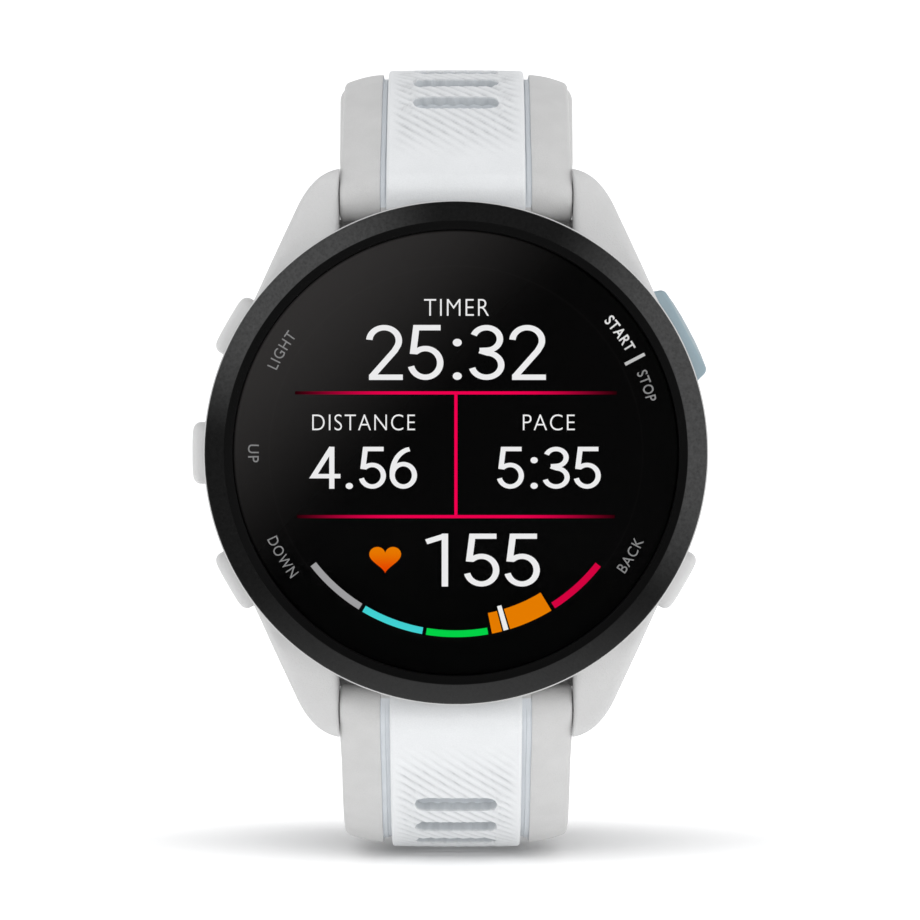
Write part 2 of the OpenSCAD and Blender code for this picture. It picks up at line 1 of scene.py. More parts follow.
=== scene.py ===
import bpy
import bmesh
import math
import numpy as np
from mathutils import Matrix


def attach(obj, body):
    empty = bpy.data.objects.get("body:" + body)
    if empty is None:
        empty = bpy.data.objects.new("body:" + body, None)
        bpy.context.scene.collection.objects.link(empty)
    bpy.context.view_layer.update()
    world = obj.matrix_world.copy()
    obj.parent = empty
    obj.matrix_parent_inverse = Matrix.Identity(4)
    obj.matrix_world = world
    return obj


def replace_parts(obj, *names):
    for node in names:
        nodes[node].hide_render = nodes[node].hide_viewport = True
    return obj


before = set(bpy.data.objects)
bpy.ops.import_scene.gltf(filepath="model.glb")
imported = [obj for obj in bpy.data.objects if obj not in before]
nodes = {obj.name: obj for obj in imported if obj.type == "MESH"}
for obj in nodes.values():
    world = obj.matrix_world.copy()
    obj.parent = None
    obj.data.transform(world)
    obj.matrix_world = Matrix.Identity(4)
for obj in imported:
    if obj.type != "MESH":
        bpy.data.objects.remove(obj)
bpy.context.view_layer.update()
scene = bpy.context.scene
mm = 0.001
print("frame loaded", len(nodes))


# shaders: a field is a socket with arithmetic, a finish is one material
class Field:
    def __init__(self, owner, socket):
        self.owner = owner
        self.socket = socket

    def math(self, kind, *others):
        made = self.owner.node("ShaderNodeMath", {"operation": kind}, dict(enumerate((self, *others))))
        return Field(self.owner, made.outputs[0])

    def __add__(self, other): return self.math("ADD", other)
    def __sub__(self, other): return self.math("SUBTRACT", other)
    def __mul__(self, other): return self.math("MULTIPLY", other)
    def __truediv__(self, other): return self.math("DIVIDE", other)
    def __rsub__(self, other): return self * -1.0 + other
    def __neg__(self): return self * -1.0
    __radd__, __rmul__ = __add__, __mul__

    def sqrt(self): return self.math("SQRT")
    def absolute(self): return self.math("ABSOLUTE")

    def between(self, low, high):  # 0 below low, 1 above high, smooth in between
        made = self.owner.node("ShaderNodeMapRange", {"interpolation_type": "SMOOTHSTEP"},
                               {"Value": self, "From Min": low, "From Max": high})
        return Field(self.owner, made.outputs["Result"])

    def blend(self, other, part):  # this colour turning into another as part goes 0 to 1
        made = self.owner.node("ShaderNodeMix", {"data_type": "RGBA"}, {0: part, 6: self, 7: other})
        return Field(self.owner, made.outputs[2])

    def tint(self, dark, light):  # a colour from dark to light as the field goes 0 to 1
        made = self.owner.node("ShaderNodeMix", {"data_type": "RGBA"},
                               {0: self, 6: (*dark, 1.0), 7: (*light, 1.0)})
        return Field(self.owner, made.outputs[2])


socketNames = {
    "color": "Base Color", "coat": "Coat Weight", "coatRough": "Coat Roughness",
    "glow": "Emission Color", "glowPower": "Emission Strength", "sheen": "Sheen Weight",
    "sheenRough": "Sheen Roughness", "specular": "Specular IOR Level",
}


class Finish:
    def __init__(self, name, **constants):
        self.material = bpy.data.materials.new(name)
        self.material.use_nodes = True
        self.tree = self.material.node_tree
        self.tree.nodes.clear()
        out = self.node("ShaderNodeOutputMaterial")
        self.shader = self.node("ShaderNodeBsdfPrincipled")
        self.tree.links.new(self.shader.outputs[0], out.inputs[0])
        self.set(**constants)

    def node(self, kind, settings=None, inputs=None):
        made = self.tree.nodes.new(kind)
        for key, value in (settings or {}).items():
            setattr(made, key, value)
        for key, value in (inputs or {}).items():
            self.put(made.inputs[key], value)
        return made

    def put(self, socket, value):
        if isinstance(value, Field):
            self.tree.links.new(value.socket, socket)
        else:
            socket.default_value = value

    def set(self, **values):
        for key, value in values.items():
            name = socketNames.get(key, key.capitalize())
            if isinstance(value, tuple) and len(value) == 3:
                value = (*value, 1.0)
            self.put(self.shader.inputs[name], value)
        return self

    def place(self):  # Object coordinates as three fields, in millimetres
        made = self.node("ShaderNodeTexCoord")
        scaled = self.node("ShaderNodeVectorMath", {"operation": "SCALE"}, {"Scale": 1 / mm})
        self.tree.links.new(made.outputs["Object"], scaled.inputs[0])
        split = self.node("ShaderNodeSeparateXYZ")
        self.tree.links.new(scaled.outputs[0], split.inputs[0])
        self.spot = Field(self, scaled.outputs[0])
        return [Field(self, split.outputs[i]) for i in range(3)]

    def mark(self, name):  # a number stored on the mesh
        made = self.node("ShaderNodeAttribute", {"attribute_name": name})
        return Field(self, made.outputs["Fac"])

    def noise(self, size, detail=3.0):  # lumps about size millimetres across
        made = self.node("ShaderNodeTexNoise", None,
                         {"Vector": self.spot, "Scale": 1.0 / size, "Detail": detail, "Roughness": 0.5})
        return Field(self, made.outputs["Fac"])

    def cells(self, size):  # round cells about size millimetres across
        made = self.node("ShaderNodeTexVoronoi", {"feature": "SMOOTH_F1"},
                         {"Vector": self.spot, "Scale": 1.0 / size})
        return Field(self, made.outputs["Distance"])

    def mottled(self, grain, broad, share=0.5):
        # fine grain, and a 0 to 1 patchiness: share of that grain, the rest broad lumps
        self.place()
        fine, lumps = self.noise(grain, 2.0), self.noise(broad, 2.0)
        return fine, (fine * share + lumps * (1 - share)).between(0.3, 0.7)

    def bump(self, height, depth):  # depth of the relief in millimetres
        made = self.node("ShaderNodeBump", None,
                         {"Height": height, "Distance": depth * mm, "Strength": 1.0})
        self.set(Normal=Field(self, made.outputs[0]))
        return self


def gray(value, warm=0.0):  # a near-neutral colour, a little warmer or cooler
    return (value * (1 + warm), value, value * (1 - warm))


def grained(name, color, rough, grain=0.16, depth=0.02, mottle=0.04, **more):
    # moulded surface: base colour times a soft mottle, roughness varied by the grain, fine bump
    made = Finish(name, **more)
    fine, shade = made.mottled(grain, grain * 22)
    low = tuple(c * (1 - mottle) for c in color)
    high = tuple(min(1.0, c * (1 + mottle)) for c in color)
    made.set(color=shade.tint(low, high), Roughness=fine * 0.14 + (rough - 0.07))
    return made.bump(fine, depth).material


def brushed(name, color, rough, along="x"):
    # fine scratches: noise stretched along one axis drives roughness and a shallow bump
    made = Finish(name, metallic=1.0)
    made.place()
    scale = {"x": (0.04, 1.0, 1.0), "y": (1.0, 0.04, 1.0)}[along]
    turn = made.node("ShaderNodeVectorMath", {"operation": "MULTIPLY"}, {0: made.spot, 1: scale})
    made.spot = Field(made, turn.outputs[0])
    line = made.noise(0.07, 3.0)
    dark = tuple(c * 0.86 for c in color)
    made.set(color=line.between(0.25, 0.75).tint(dark, color), Roughness=line * 0.2 + (rough - 0.1))
    return made.bump(line, 0.006).material


# meshes: numpy points in the lying watch's frame, stood up as they are stored
def stand(points):  # (x, up the display, towards the viewer) in mm -> the shared frame in metres
    p = np.asarray(points, float).reshape(-1, 3)
    return np.stack([p[:, 0], -p[:, 2], p[:, 1]], 1) * mm


def gridFaces(rows, cols, wrapRows=False, wrapCols=False):
    # each quad joins a point to its neighbours in the next row and column
    i = np.arange(rows if wrapRows else rows - 1)[:, None]
    j = np.arange(cols if wrapCols else cols - 1)[None, :]
    i2, j2 = (i + 1) % rows, (j + 1) % cols
    faces = np.stack([i * cols + j, i * cols + j2, i2 * cols + j2, i2 * cols + j], -1)
    return faces.reshape(-1, 4)


def meshPiece(name, points, faces, body, slotName, material, sharp=35, weld=0.002, marks=None):
    # points in mm in the lying frame, faces as an (n, k) array or a list of such arrays
    groups = faces if isinstance(faces, list) else [faces]
    mesh = bpy.data.meshes.new(name)
    spots = stand(points)
    mesh.vertices.add(len(spots))
    mesh.vertices.foreach_set("co", spots.ravel())
    corners = np.concatenate([g.ravel() for g in groups])
    counts = np.concatenate([np.full(len(g), g.shape[1]) for g in groups])
    mesh.loops.add(len(corners))
    mesh.loops.foreach_set("vertex_index", corners)
    mesh.polygons.add(len(counts))
    mesh.polygons.foreach_set("loop_start", np.concatenate([[0], np.cumsum(counts)[:-1]]))
    mesh.update(calc_edges=True)
    mesh.validate()
    for key, values in (marks or {}).items():  # one number per point, read by the finish
        stored = mesh.attributes.new(key, "FLOAT", "POINT").data
        stored.foreach_set("value", np.ravel(values).astype("f"))
    shape = bmesh.new()
    shape.from_mesh(mesh)
    bmesh.ops.remove_doubles(shape, verts=shape.verts, dist=weld * mm)
    bmesh.ops.dissolve_degenerate(shape, edges=shape.edges, dist=weld * mm * 0.1)
    bmesh.ops.recalc_face_normals(shape, faces=shape.faces)
    shape.to_mesh(mesh)
    shape.free()
    mesh.polygons.foreach_set("use_smooth", np.ones(len(mesh.polygons), bool))
    mesh.set_sharp_from_angle(angle=math.radians(sharp))
    piece = bpy.data.objects.new(name, mesh)
    scene.collection.objects.link(piece)
    piece.data.materials.append(material)
    if body:
        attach(piece, body)
    return piece


def rounded(corners, radii, steps=5):
    # a polygon's corners replaced by quadratic arcs that start and end radius away from each
    c = np.asarray(corners, float)
    out = []
    for k in range(len(c)):
        a, b, d = c[k - 1], c[k], c[(k + 1) % len(c)]
        r = radii[k] if np.ndim(radii) else radii
        if r <= 0:
            out.append(b[None])
            continue
        u, v = (a - b) / np.linalg.norm(a - b), (d - b) / np.linalg.norm(d - b)
        t = np.linspace(0, 1, steps)[:, None]
        out.append((1 - t) ** 2 * (b + u * r) + 2 * t * (1 - t) * b + t ** 2 * (b + v * r))
    return np.concatenate(out)


def closeEnds(points):
    # the first and the last row drawn in almost to their middles, added as caps
    ends = []
    for row in (points[:1], points[-1:]):
        middle = row.mean(1, keepdims=True)
        ends.append(middle + (row - middle) * 0.001)
    return np.concatenate([ends[0], points, ends[1]])


def revolve(profile, angles):
    # a closed profile of (radius, height) turned about the display's axis
    p = np.asarray(profile)
    x = p[None, :, 0] * np.cos(angles)[:, None]
    y = p[None, :, 0] * np.sin(angles)[:, None]
    return np.stack([x, y, np.broadcast_to(p[None, :, 1], x.shape)], -1)


def turned(name, profile, slotName, material, count, sharp):
    # the profile at count even angles of a whole turn, joined into a ring
    points = revolve(profile, np.linspace(0, 2 * math.pi, count, endpoint=False))
    return meshPiece(name, points, gridFaces(count, len(profile), True, True), "case", slotName,
                     material, sharp)


# camera, light and floor; depths and heights in mm, lamp places and sizes in metres
camera = {"eyeDepth": 411.6, "aimX": 0.35, "aimUp": -0.62, "lens": 183.2, "sensor": 36.0}
floor = {
    "up": -36.55, "halfWide": 4000, "front": -2500, "back": 2000, "curveDeep": 1500,
    "curveHigh": 3000, "shadeAt": 32.0, "shadeFrom": 8.0, "shadeTo": 34.0, "glow": 0.4,
}
lamps = {  # place, size, power, turn in degrees
    "keyLight": ((-0.2, -0.5, 0.75), 0.7, 0.55, (34, 0, -22)),
    "rightLight": ((0.75, -0.35, 0.2), 0.6, 1.3, (76, 0, 65)),
    "leftLight": ((-0.8, -0.2, 0.2), 0.6, 0.7, (76, 0, -76)),
    "frontLight": ((0.15, -1.1, 0.12), 0.8, 2.9, (84, 0, 8)),
}


def makeFloorPaint():
    # pale paint with its own faint light, which fades out in an oval under the watch: a painted shadow
    made = Finish("floorPaint", Roughness=0.85)
    x, y, z = made.place()
    # lit is 0 inside an oval centred shadeAt behind the watch and 1 outside it: the painted shadow on the
    # floor
    behind = y - floor["shadeAt"]
    lit = (x * x * 0.6 + behind * behind).sqrt().between(floor["shadeFrom"], floor["shadeTo"])
    made.set(color=made.noise(90.0, 2.0).between(0.3, 0.7).tint(gray(0.88), gray(0.9)),
             glow=lit.tint(gray(0.0), gray(floor["glow"])), glowPower=1.0)
    return made.material


def makeBackdrop():
    # one sheet: flat for the first part of its rows, then a quarter oval up behind the watch
    s, flat = np.linspace(0, 1, 60), 0.6
    run, turn = np.minimum(s / flat, 1), np.clip((s - flat) / (1 - flat), 0, 1) * math.pi / 2
    back = floor["front"] + run * (floor["back"] - floor["front"]) + np.sin(turn) * floor["curveDeep"]
    up = floor["up"] + (1 - np.cos(turn)) * floor["curveHigh"]
    x = np.linspace(-floor["halfWide"], floor["halfWide"], 20)
    points = np.stack(np.broadcast_arrays(x[None, :], up[:, None], -back[:, None]), -1)
    return meshPiece("backdrop", points, gridFaces(60, 20), None, None, makeFloorPaint())


def hang(name, data, place, turn):  # a lamp or camera, its turn in degrees
    holder = bpy.data.objects.new(name, data)
    holder.location, holder.rotation_euler = place, [math.radians(v) for v in turn]
    scene.collection.objects.link(holder)
    return holder


def makeStage():
    eye = bpy.data.cameras.new("camera")
    eye.lens, eye.sensor_width = camera["lens"], camera["sensor"]
    eye.clip_start, eye.clip_end = 0.01, 50.0
    spot = (camera["aimX"] * mm, -camera["eyeDepth"] * mm, camera["aimUp"] * mm)
    scene.camera = hang("camera", eye, spot, (90, 0, 0))
    makeBackdrop()
    for name, (place, size, power, turn) in lamps.items():
        lamp = bpy.data.lights.new(name, "AREA")
        lamp.energy, lamp.size = power, size
        hang(name, lamp, place, turn)
    world = bpy.data.worlds.new("studio")
    world.use_nodes = True
    sky = world.node_tree.nodes["Background"]
    sky.inputs[0].default_value, sky.inputs[1].default_value = (0.985, 0.99, 1.0, 1.0), 0.75
    scene.world = world
    scene.view_settings.view_transform = "Standard"


makeStage()
print("stage done")

# finishes of the new pieces and of the frame's own nodes
caseGray = grained("casePolymer", gray(0.565, 0.003), 0.5, grain=0.13, depth=0.05, mottle=0.02,
                   specular=0.4)
capGray = grained("capPolymer", gray(0.57, 0.003), 0.38, grain=0.2, depth=0.006, mottle=0.02,
                  coat=0.15)
capBlue = grained("startPolymer", (0.235, 0.315, 0.355), 0.42, grain=0.2, depth=0.006,
                  mottle=0.03, coat=0.12)
bandGray = grained("bandSilicone", (0.545, 0.545, 0.54), 0.62, grain=0.1, depth=0.03,
                   mottle=0.02, specular=0.35, sheen=0.12, sheenRough=0.5)
steel = brushed("buckleSteel", (0.58, 0.58, 0.6), 0.3, "x")
barSteel = brushed("barSteel", (0.62, 0.62, 0.64), 0.28, "x")
coverBlack = grained("coverPlastic", gray(0.028), 0.52, grain=0.14, depth=0.02, mottle=0.12)
gold = grained("contactGold", (0.83, 0.6, 0.24), 0.28, grain=0.3, depth=0.003, metallic=1.0)
tin = brushed("shieldTin", (0.6, 0.6, 0.62), 0.36, "x")
screwSteel = brushed("screwSteel", (0.5, 0.5, 0.52), 0.34, "y")
rubberBlack = grained("rubberBlack", gray(0.022), 0.7, grain=0.2, depth=0.01, mottle=0.1)
plasticDark = grained("plasticDark", gray(0.05), 0.55, grain=0.3, depth=0.01, mottle=0.1)
boardGreen = grained("boardMask", (0.015, 0.12, 0.06), 0.35, grain=0.5, depth=0.008, mottle=0.15,
                     coat=0.3)
boardBlack = grained("boardBlack", gray(0.02), 0.35, grain=0.5, depth=0.008, coat=0.3)
foil = grained("batteryFoil", (0.46, 0.48, 0.5), 0.4, grain=1.6, depth=0.03, metallic=0.7)
flexAmber = grained("flexFilm", (0.5, 0.26, 0.05), 0.35, grain=0.6, depth=0.01)
ledClear = grained("ledPackage", (0.30, 0.55, 0.34), 0.3, grain=0.3, depth=0.005, coat=0.4,
                   glow=(0.02, 0.5, 0.1), glowPower=0.6)


diagonal = math.sqrt(0.5)


def makeBezelPaint():
    # anodised ring: fine leather grain outside the chamfer, with painted highlights to the upper left and to
    # the right, and painted light towards its lower side
    made = Finish("bezelAnodisedPaintedHighlights", specular=0.035)
    x, y, z = made.place()
    radius = (x * x + z * z).sqrt()
    outside = radius.between(19.78, 19.86)
    grain = made.cells(0.3) * 0.6 + made.noise(0.17, 2.0) * 0.7
    # lean is a painted highlight in two lobes, upper left and right; foot is painted light towards the
    # ring's lower side
    lean = (((z - x) / radius * diagonal).between(0.74, 1.0)
            + ((x + z * 0.25) / radius).between(0.62, 1.0))
    foot = (-z).between(10.0, 24.0)
    grainAndPaintedLight = outside * (grain * (lean * 0.55 + 0.1) + lean * 0.42 + foot * 0.5)
    made.set(color=grainAndPaintedLight.tint(gray(0.002), gray(0.06)), Roughness=outside * 0.16 + 0.32)
    return made.bump(grain * outside, 0.07).material


def makeGlass():
    # cover glass: clear over the display, a black printed border towards its rim
    made = Finish("coverGlass", color=gray(0.0), specular=0.0)
    x, y, z = made.place()
    made.set(Alpha=(x * x + z * z).sqrt().between(18.85, 19.1) * 0.6,
             Roughness=made.noise(9.0) * 0.03 + 0.03)
    return made.material


def makePanelBlack():
    # display face: black, a weak painted reflection fading from the upper left, and a faint ring at its edge
    made = Finish("displayBlack", specular=0.012)
    x, y, z = made.place()
    # painted reflection: a faint glow and a lighter black towards the upper left
    paintedReflection = ((z - x) * diagonal).between(3.0, 22.0)
    ring = (x * x + z * z).sqrt()
    rim = ring.between(15.9, 15.98) * (16.12 - ring).between(0.0, 0.08)
    made.set(color=paintedReflection.tint(gray(0.0002), gray(0.002)), Roughness=paintedReflection * 0.06 + 0.06,
             glow=(paintedReflection + rim * 0.05).tint(gray(0.0), (0.030, 0.0281, 0.0276)), glowPower=1.0)
    return made.material


def makeSensorGlass():
    # dark window with a greenish ring where the sensor looks through
    made = Finish("sensorGlass", color=gray(0.012), coat=0.8, coatRough=0.04)
    x, y, z = made.place()
    radius = (x * x + z * z).sqrt()
    window = (1.6 - (radius - 4.3).absolute()).between(0.0, 0.25)
    made.set(color=window.tint(gray(0.01), (0.03, 0.045, 0.035)),
             Roughness=made.noise(4.0) * 0.1 + 0.05)
    return made.material


def makeLight(name, color, power=1.0, fade=None):
    # lit graphics: plain emission, faded along the display where asked
    made = Finish(name, color=gray(0.0), specular=0.0, roughness=0.6)
    x, y, z = made.place()
    level = fade(x, y, z) if fade else made.noise(0.3, 1.0) * 0.04 + 0.98
    made.set(glow=level.tint(gray(0.0), color), glowPower=power)
    return made.material


bezelPaint = makeBezelPaint()
coverGlass = makeGlass()
panelBlack = makePanelBlack()
sensorGlass = makeSensorGlass()
print("finishes done")


# strap halves: a lattice over the strap, with the slots left out and walled; mm along and across
strap = {
    "width": 20.0, "thick": 2.6, "inlayWidth": 12.06, "raise": 0.36, "sink": 0.5,
    "groove": 0.52, "grooveDepth": 0.4, "slotWidth": 7.64, "slotLength": 1.9, "pitch": 3.8,
    "firstSlot": 9.2, "barrel": 2.52, "taper": 9.0, "pinUp": 22.6, "pinOut": 4.2, "lean": -30,
    "crown": 0.82, "lip": 0.32, "lipDrop": 0.36, "inlayLip": 0.26, "inlayFrom": -3.0,
    "ridgePitch": 1.25, "ridgeSlope": 0.84, "ridgeDepth": 0.24, "scallop": 0.11,
}
# (length, radius) of each stretch, from the bar outwards; radius 0 is straight
upperBend = [(1.4, 0.0), (18.1 * math.pi / 3, 18.1), (8 * math.pi, 120.0), (34 * math.pi / 6, 34.0)]
lowerBend = [(1.4, 0.0), (20.3 * math.pi / 3, 20.3), (8 * math.pi, 120.0),
             (32 * math.pi * 44 / 180, 32.0), (80.0, 60.0)]
upperLength = sum(length for length, radius in upperBend)
lowerLength = 98.0
slotCount = {"upper": 6, "lower": 21}


def alongStretch(spot, length, radius):
    # (y, z, heading) carried on by length, straight or round an arc that turns towards the wrist
    y, z, h = spot
    if radius == 0:
        return y + length * math.cos(h), z + length * math.sin(h), h + 0 * length
    end = h - length / radius
    return y + radius * (math.sin(h) - np.sin(end)), z + radius * (np.cos(end) - math.cos(h)), end


def alongBend(bend, s):
    # middle line: each stretch starts where and how the one before ends; the last runs on
    s = np.asarray(s, float)
    spot = (strap["pinUp"], strap["pinOut"], math.radians(strap["lean"]))
    found, start = [np.zeros_like(s) for _ in spot], 0.0
    for k, (length, radius) in enumerate(bend):
        here = (s >= start) | (k == 0)
        if k < len(bend) - 1:
            here &= s <= start + length
        found = [np.where(here, new, old) for new, old in zip(alongStretch(spot, s - start, radius), found)]
        spot = alongStretch(spot, length, radius)
        start += length
    return found


def halfThick(s):
    # half the thickness, growing with the square of nearness to the bar up to the barrel's radius
    base = strap["thick"] / 2
    return base + (strap["barrel"] - base) * np.clip(1 - s / strap["taper"], 0, 1) ** 2


def rolled(t):  # drop of an edge rolled over a quarter circle, as t goes 0 to 1 across it
    return 1 - np.sqrt(np.clip(1 - t ** 2, 0, 1))


def facePoints(bend, s, x, side, height):
    # ahead of the bar: the middle line moved out by height along its normal;
    # behind the bar: height as a radius about the bar, turned back by s
    y, z, h = alongBend(bend, np.maximum(s, 0))
    turn = np.minimum(s, 0) / strap["barrel"]
    angle = h + side * (math.pi / 2 - turn)
    return np.stack([x, y + height * np.cos(angle), z + height * np.sin(angle)], -1)


def slotLines(count, low, high, coarse):
    # lines along the strap: even ones, with exact ones at every slot's edges
    first, pitch, half = strap["firstSlot"], strap["pitch"], strap["slotLength"] / 2
    inside = np.concatenate([np.linspace(-pitch / 2, -half, 6)[:-1], np.linspace(-half, half, 9)[:-1],
                             np.linspace(half, pitch / 2, 6)[:-1]])
    slots = (first + np.arange(count)[:, None] * pitch + inside[None, :]).ravel()
    lines = [slots]
    for a, b in ((low, first - pitch / 2), (first + (count - 0.5) * pitch, high)):
        if b > a:
            lines.append(np.linspace(a, b, max(3, int((b - a) / coarse) + 1)))
    return np.unique(np.round(np.concatenate(lines), 4))


def slotHoles(ss, xs, count):
    # the cells whose middle lies in a slot
    sMid, xMid = (ss[1:] + ss[:-1]) / 2, (xs[1:] + xs[:-1]) / 2
    first, pitch = strap["firstSlot"], strap["pitch"]
    off = np.abs((sMid - first + pitch / 2) % pitch - pitch / 2)
    inRun = (sMid > first - 1.5) & (sMid < first + (count - 0.5) * pitch)
    inSlot = inRun & (off < strap["slotLength"] / 2)
    return inSlot[:, None] & (np.abs(xMid) < strap["slotWidth"] / 2)[None]


def ridgePhase(s, x, sign):  # goes up by 1 from one slanting ridge to the next
    return (x + sign * s / strap["ridgeSlope"]) / strap["ridgePitch"]


def warpSlots(s, x, count, sign, scallop):
    # lines beside a slot bow in at its rounded ends, and wave where the ridges meet its edge
    first, pitch, half = strap["firstSlot"], strap["pitch"], strap["slotLength"] / 2
    centre = first + np.clip(np.round((s - first) / pitch), 0, count - 1) * pitch
    reach, off, ax = strap["slotWidth"] / 2, s - centre, np.abs(x)
    t = np.clip((ax - (reach - half)) / half, 0, 1)
    end = np.sqrt(np.clip(1 - t ** 2, 0.0036, 1))
    past = np.clip((ax - reach) / 1.3, 0, 1)
    end = np.where(ax > reach, end + (1 - end) * past ** 2 * (3 - 2 * past), end)
    fade = np.clip((reach - 0.5 - ax) / 0.6, 0, 1)
    side = np.sign(off)
    wave = np.cos(2 * math.pi * ridgePhase(centre + side * half, x, sign)) * scallop * fade * side
    edge = half * end + wave
    inside = off / half * edge
    outside = side * (edge + (np.abs(off) - half) * (pitch / 2 - edge) / (pitch / 2 - half))
    moved = centre + np.where(np.abs(off) <= half + 1e-6, inside, outside)
    return np.where(np.abs(off) <= pitch / 2 + 1e-6, moved, s)


def slottedSheet(s, top, bottom, hole):
    # top and bottom grids, with a wall wherever a kept cell meets a missing one
    rows, cols = s.shape
    keep = ~hole
    n = rows * cols
    faces = gridFaces(rows, cols).reshape(rows - 1, cols - 1, 4)
    upper, lower = faces[keep], faces[keep][:, ::-1] + n
    pad = np.pad(keep, 1)
    a = np.argwhere(pad[:-1, 1:-1] != pad[1:, 1:-1]) @ (cols, 1)  # walls along a row line
    b = np.argwhere(pad[1:-1, :-1] != pad[1:-1, 1:]) @ (cols, 1)  # walls along a column line
    start, end = np.concatenate([a, b]), np.concatenate([a + 1, b + cols])
    walls = np.stack([start, end, end + n, start + n], 1)
    points = np.concatenate([top.reshape(-1, 3), bottom.reshape(-1, 3)])
    return points, np.concatenate([upper, lower, walls])


def tailWidth(s, length, flat, radius):
    # plan of the tail: full width, then two quarter circles of radius down to the flat end
    d = np.clip(s - (length - radius), 0, radius * 0.9995)
    return flat + np.sqrt(radius ** 2 - d ** 2)


def makeBand(name, bend, length, count, mirror, body, node, tail):
    # both faces stand half the thickness off the middle line, less crown, lip, groove and seat
    wide, slot = strap["width"] / 2, strap["slotWidth"] / 2
    inlay, groove = strap["inlayWidth"] / 2, strap["inlayWidth"] / 2 + strap["groove"]
    across = [0, 1.2, 2.4, *np.linspace(slot - 0.95, slot, 7), 4.3, 5.0, 5.6, inlay - 0.06, inlay,
              inlay + 0.1, (inlay + groove) / 2, groove - 0.1, groove, groove + 0.06, groove + 0.2,
              *np.linspace(6.9, 9.4, 8), 9.55, 9.68, 9.76, 9.83, 9.9, 9.95, 9.985, wide]
    xs = np.unique(np.round(np.concatenate([-np.array(across), across]), 4))
    ss = slotLines(count, -strap["barrel"] * math.pi / 2, length, 0.8)
    if tail:
        ss = np.unique(np.concatenate([ss, length - 8.0 * (1 - np.sin(np.linspace(0, math.pi / 2, 14)))]))
    hole = slotHoles(ss, xs, count)
    s, x = np.meshgrid(ss, xs, indexing="ij")
    s = warpSlots(s, x, count, 1, 0.0)
    half = halfThick(np.maximum(s, 0))
    ax = np.abs(x)
    root = np.clip(1 + s / 2.6, 0, 1)  # the crown runs out round the bar
    crown = strap["crown"] * np.clip((ax - groove) / (wide - groove), 0, 1) ** 1.8 * root
    lip = strap["lipDrop"] * rolled(np.clip((ax - wide + strap["lip"]) / strap["lip"], 0, 1))
    top, bottom = half - crown - lip, half - lip
    ends = np.clip((s + 2.6) / 0.3, 0, 1)  # and so do the groove and the inlay's seat
    ground = half - strap["grooveDepth"] * ends
    top = np.where(ax < groove, ground + (top - ground) * np.clip((ax - groove + 0.1) / 0.1, 0, 1), top)
    top = np.where(ax <= inlay, half - strap["sink"] * ends, top)
    x = x * (1 + 0.008 * np.clip((5 - s) / 3, 0, 1))
    if tail:
        x = x * tailWidth(s, length, 2.0, 8.0) / wide
        ease = np.sqrt(1 - 0.8 * np.clip((s - (length - 1.2)) / 1.2, 0, 1) ** 2)
        top, bottom = top * ease, bottom * ease
    points, faces = slottedSheet(s, facePoints(bend, s, x, 1, top), facePoints(bend, s, x, -1, bottom), hole)
    points[:, 1] *= mirror
    sunk = (ax < groove - 0.02) * (s > -2.45)
    marks = {"sunk": np.concatenate([sunk.ravel(), np.zeros(sunk.size)])}
    piece = meshPiece(name, points, faces, body, "strap_silicone", bandPaint, 38, marks=marks)
    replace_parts(piece, node)


def makeInlay(name, bend, high, count, mirror, body, node, tail):
    # outer face: raised off the band, a low dome across, less rolled edges and slanting valleys
    wide, slot, low = strap["inlayWidth"] / 2, strap["slotWidth"] / 2, strap["inlayFrom"]
    across = np.concatenate([
        np.linspace(0, slot - 0.9, 15), np.linspace(slot - 0.9, slot, 6),
        np.linspace(slot, wide - 0.4, 9), wide - np.array([0, 0.02, 0.06, 0.14, 0.26])])
    xs = np.unique(np.round(np.concatenate([-across, across]), 4))
    ends = [low + 0.05, low + 0.12, high - 0.05, high - 0.12]
    ss = np.unique(np.concatenate([slotLines(count, low, high, 0.2), ends]))
    hole = slotHoles(ss, xs, count)
    s, x = np.meshgrid(ss, xs, indexing="ij")
    s = warpSlots(s, x, count, mirror, strap["scallop"])
    half = halfThick(np.maximum(s, 0))
    ax = np.abs(x)
    # ridges: a row of rounded humps with sharp valleys, fading to the sides and to both ends
    valley = 1 - np.abs(np.sin(math.pi * ridgePhase(s, x, mirror))) ** 0.75
    fadeSide = np.clip(wide - 0.3 - ax, 0, 1)
    fadeLug = np.clip((s - 1.6) / 3.6, 0, 1)
    fadeEnd = np.clip((high - 1.5 - s) / 2.5, 0, 1)
    ridge = fadeSide * fadeLug ** 1.2 * fadeEnd
    lip = strap["inlayLip"]
    rise = strap["raise"] + 0.09 * (1 - (x / wide) ** 2) - strap["ridgeDepth"] * valley * ridge
    rise -= lip * rolled(np.clip((ax - (wide - lip)) / lip, 0, 1))
    rise -= 0.16 * rolled(1 - np.clip((high - s) / 0.2, 0, 1) * np.clip((s - low) / 0.2, 0, 1))
    if tail:
        x = x * np.minimum(1, tailWidth(s, high, 1.4, 4.2) / (wide - 0.15))
    top = half + rise * (1 - 0.68 * np.clip((-1.2 - s) / 1.1, 0, 1))
    points, faces = slottedSheet(s, facePoints(bend, s, x, 1, top),
                                 facePoints(bend, s, x, 1, half - strap["sink"]), hole)
    points[:, 1] *= mirror
    flat = np.zeros(s.size)
    # the valley and depth marks tell the finish where to paint shade: in the ridges' valleys and down the
    # slot walls
    marks = {"valley": np.concatenate([(valley ** 1.6 * ridge).ravel(), flat]),
             "depth": np.concatenate([flat, flat + 1])}
    piece = meshPiece(name, points, faces, body, "inlay_silicone", inlayPaint, 50, 0.001, marks)
    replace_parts(piece, node)


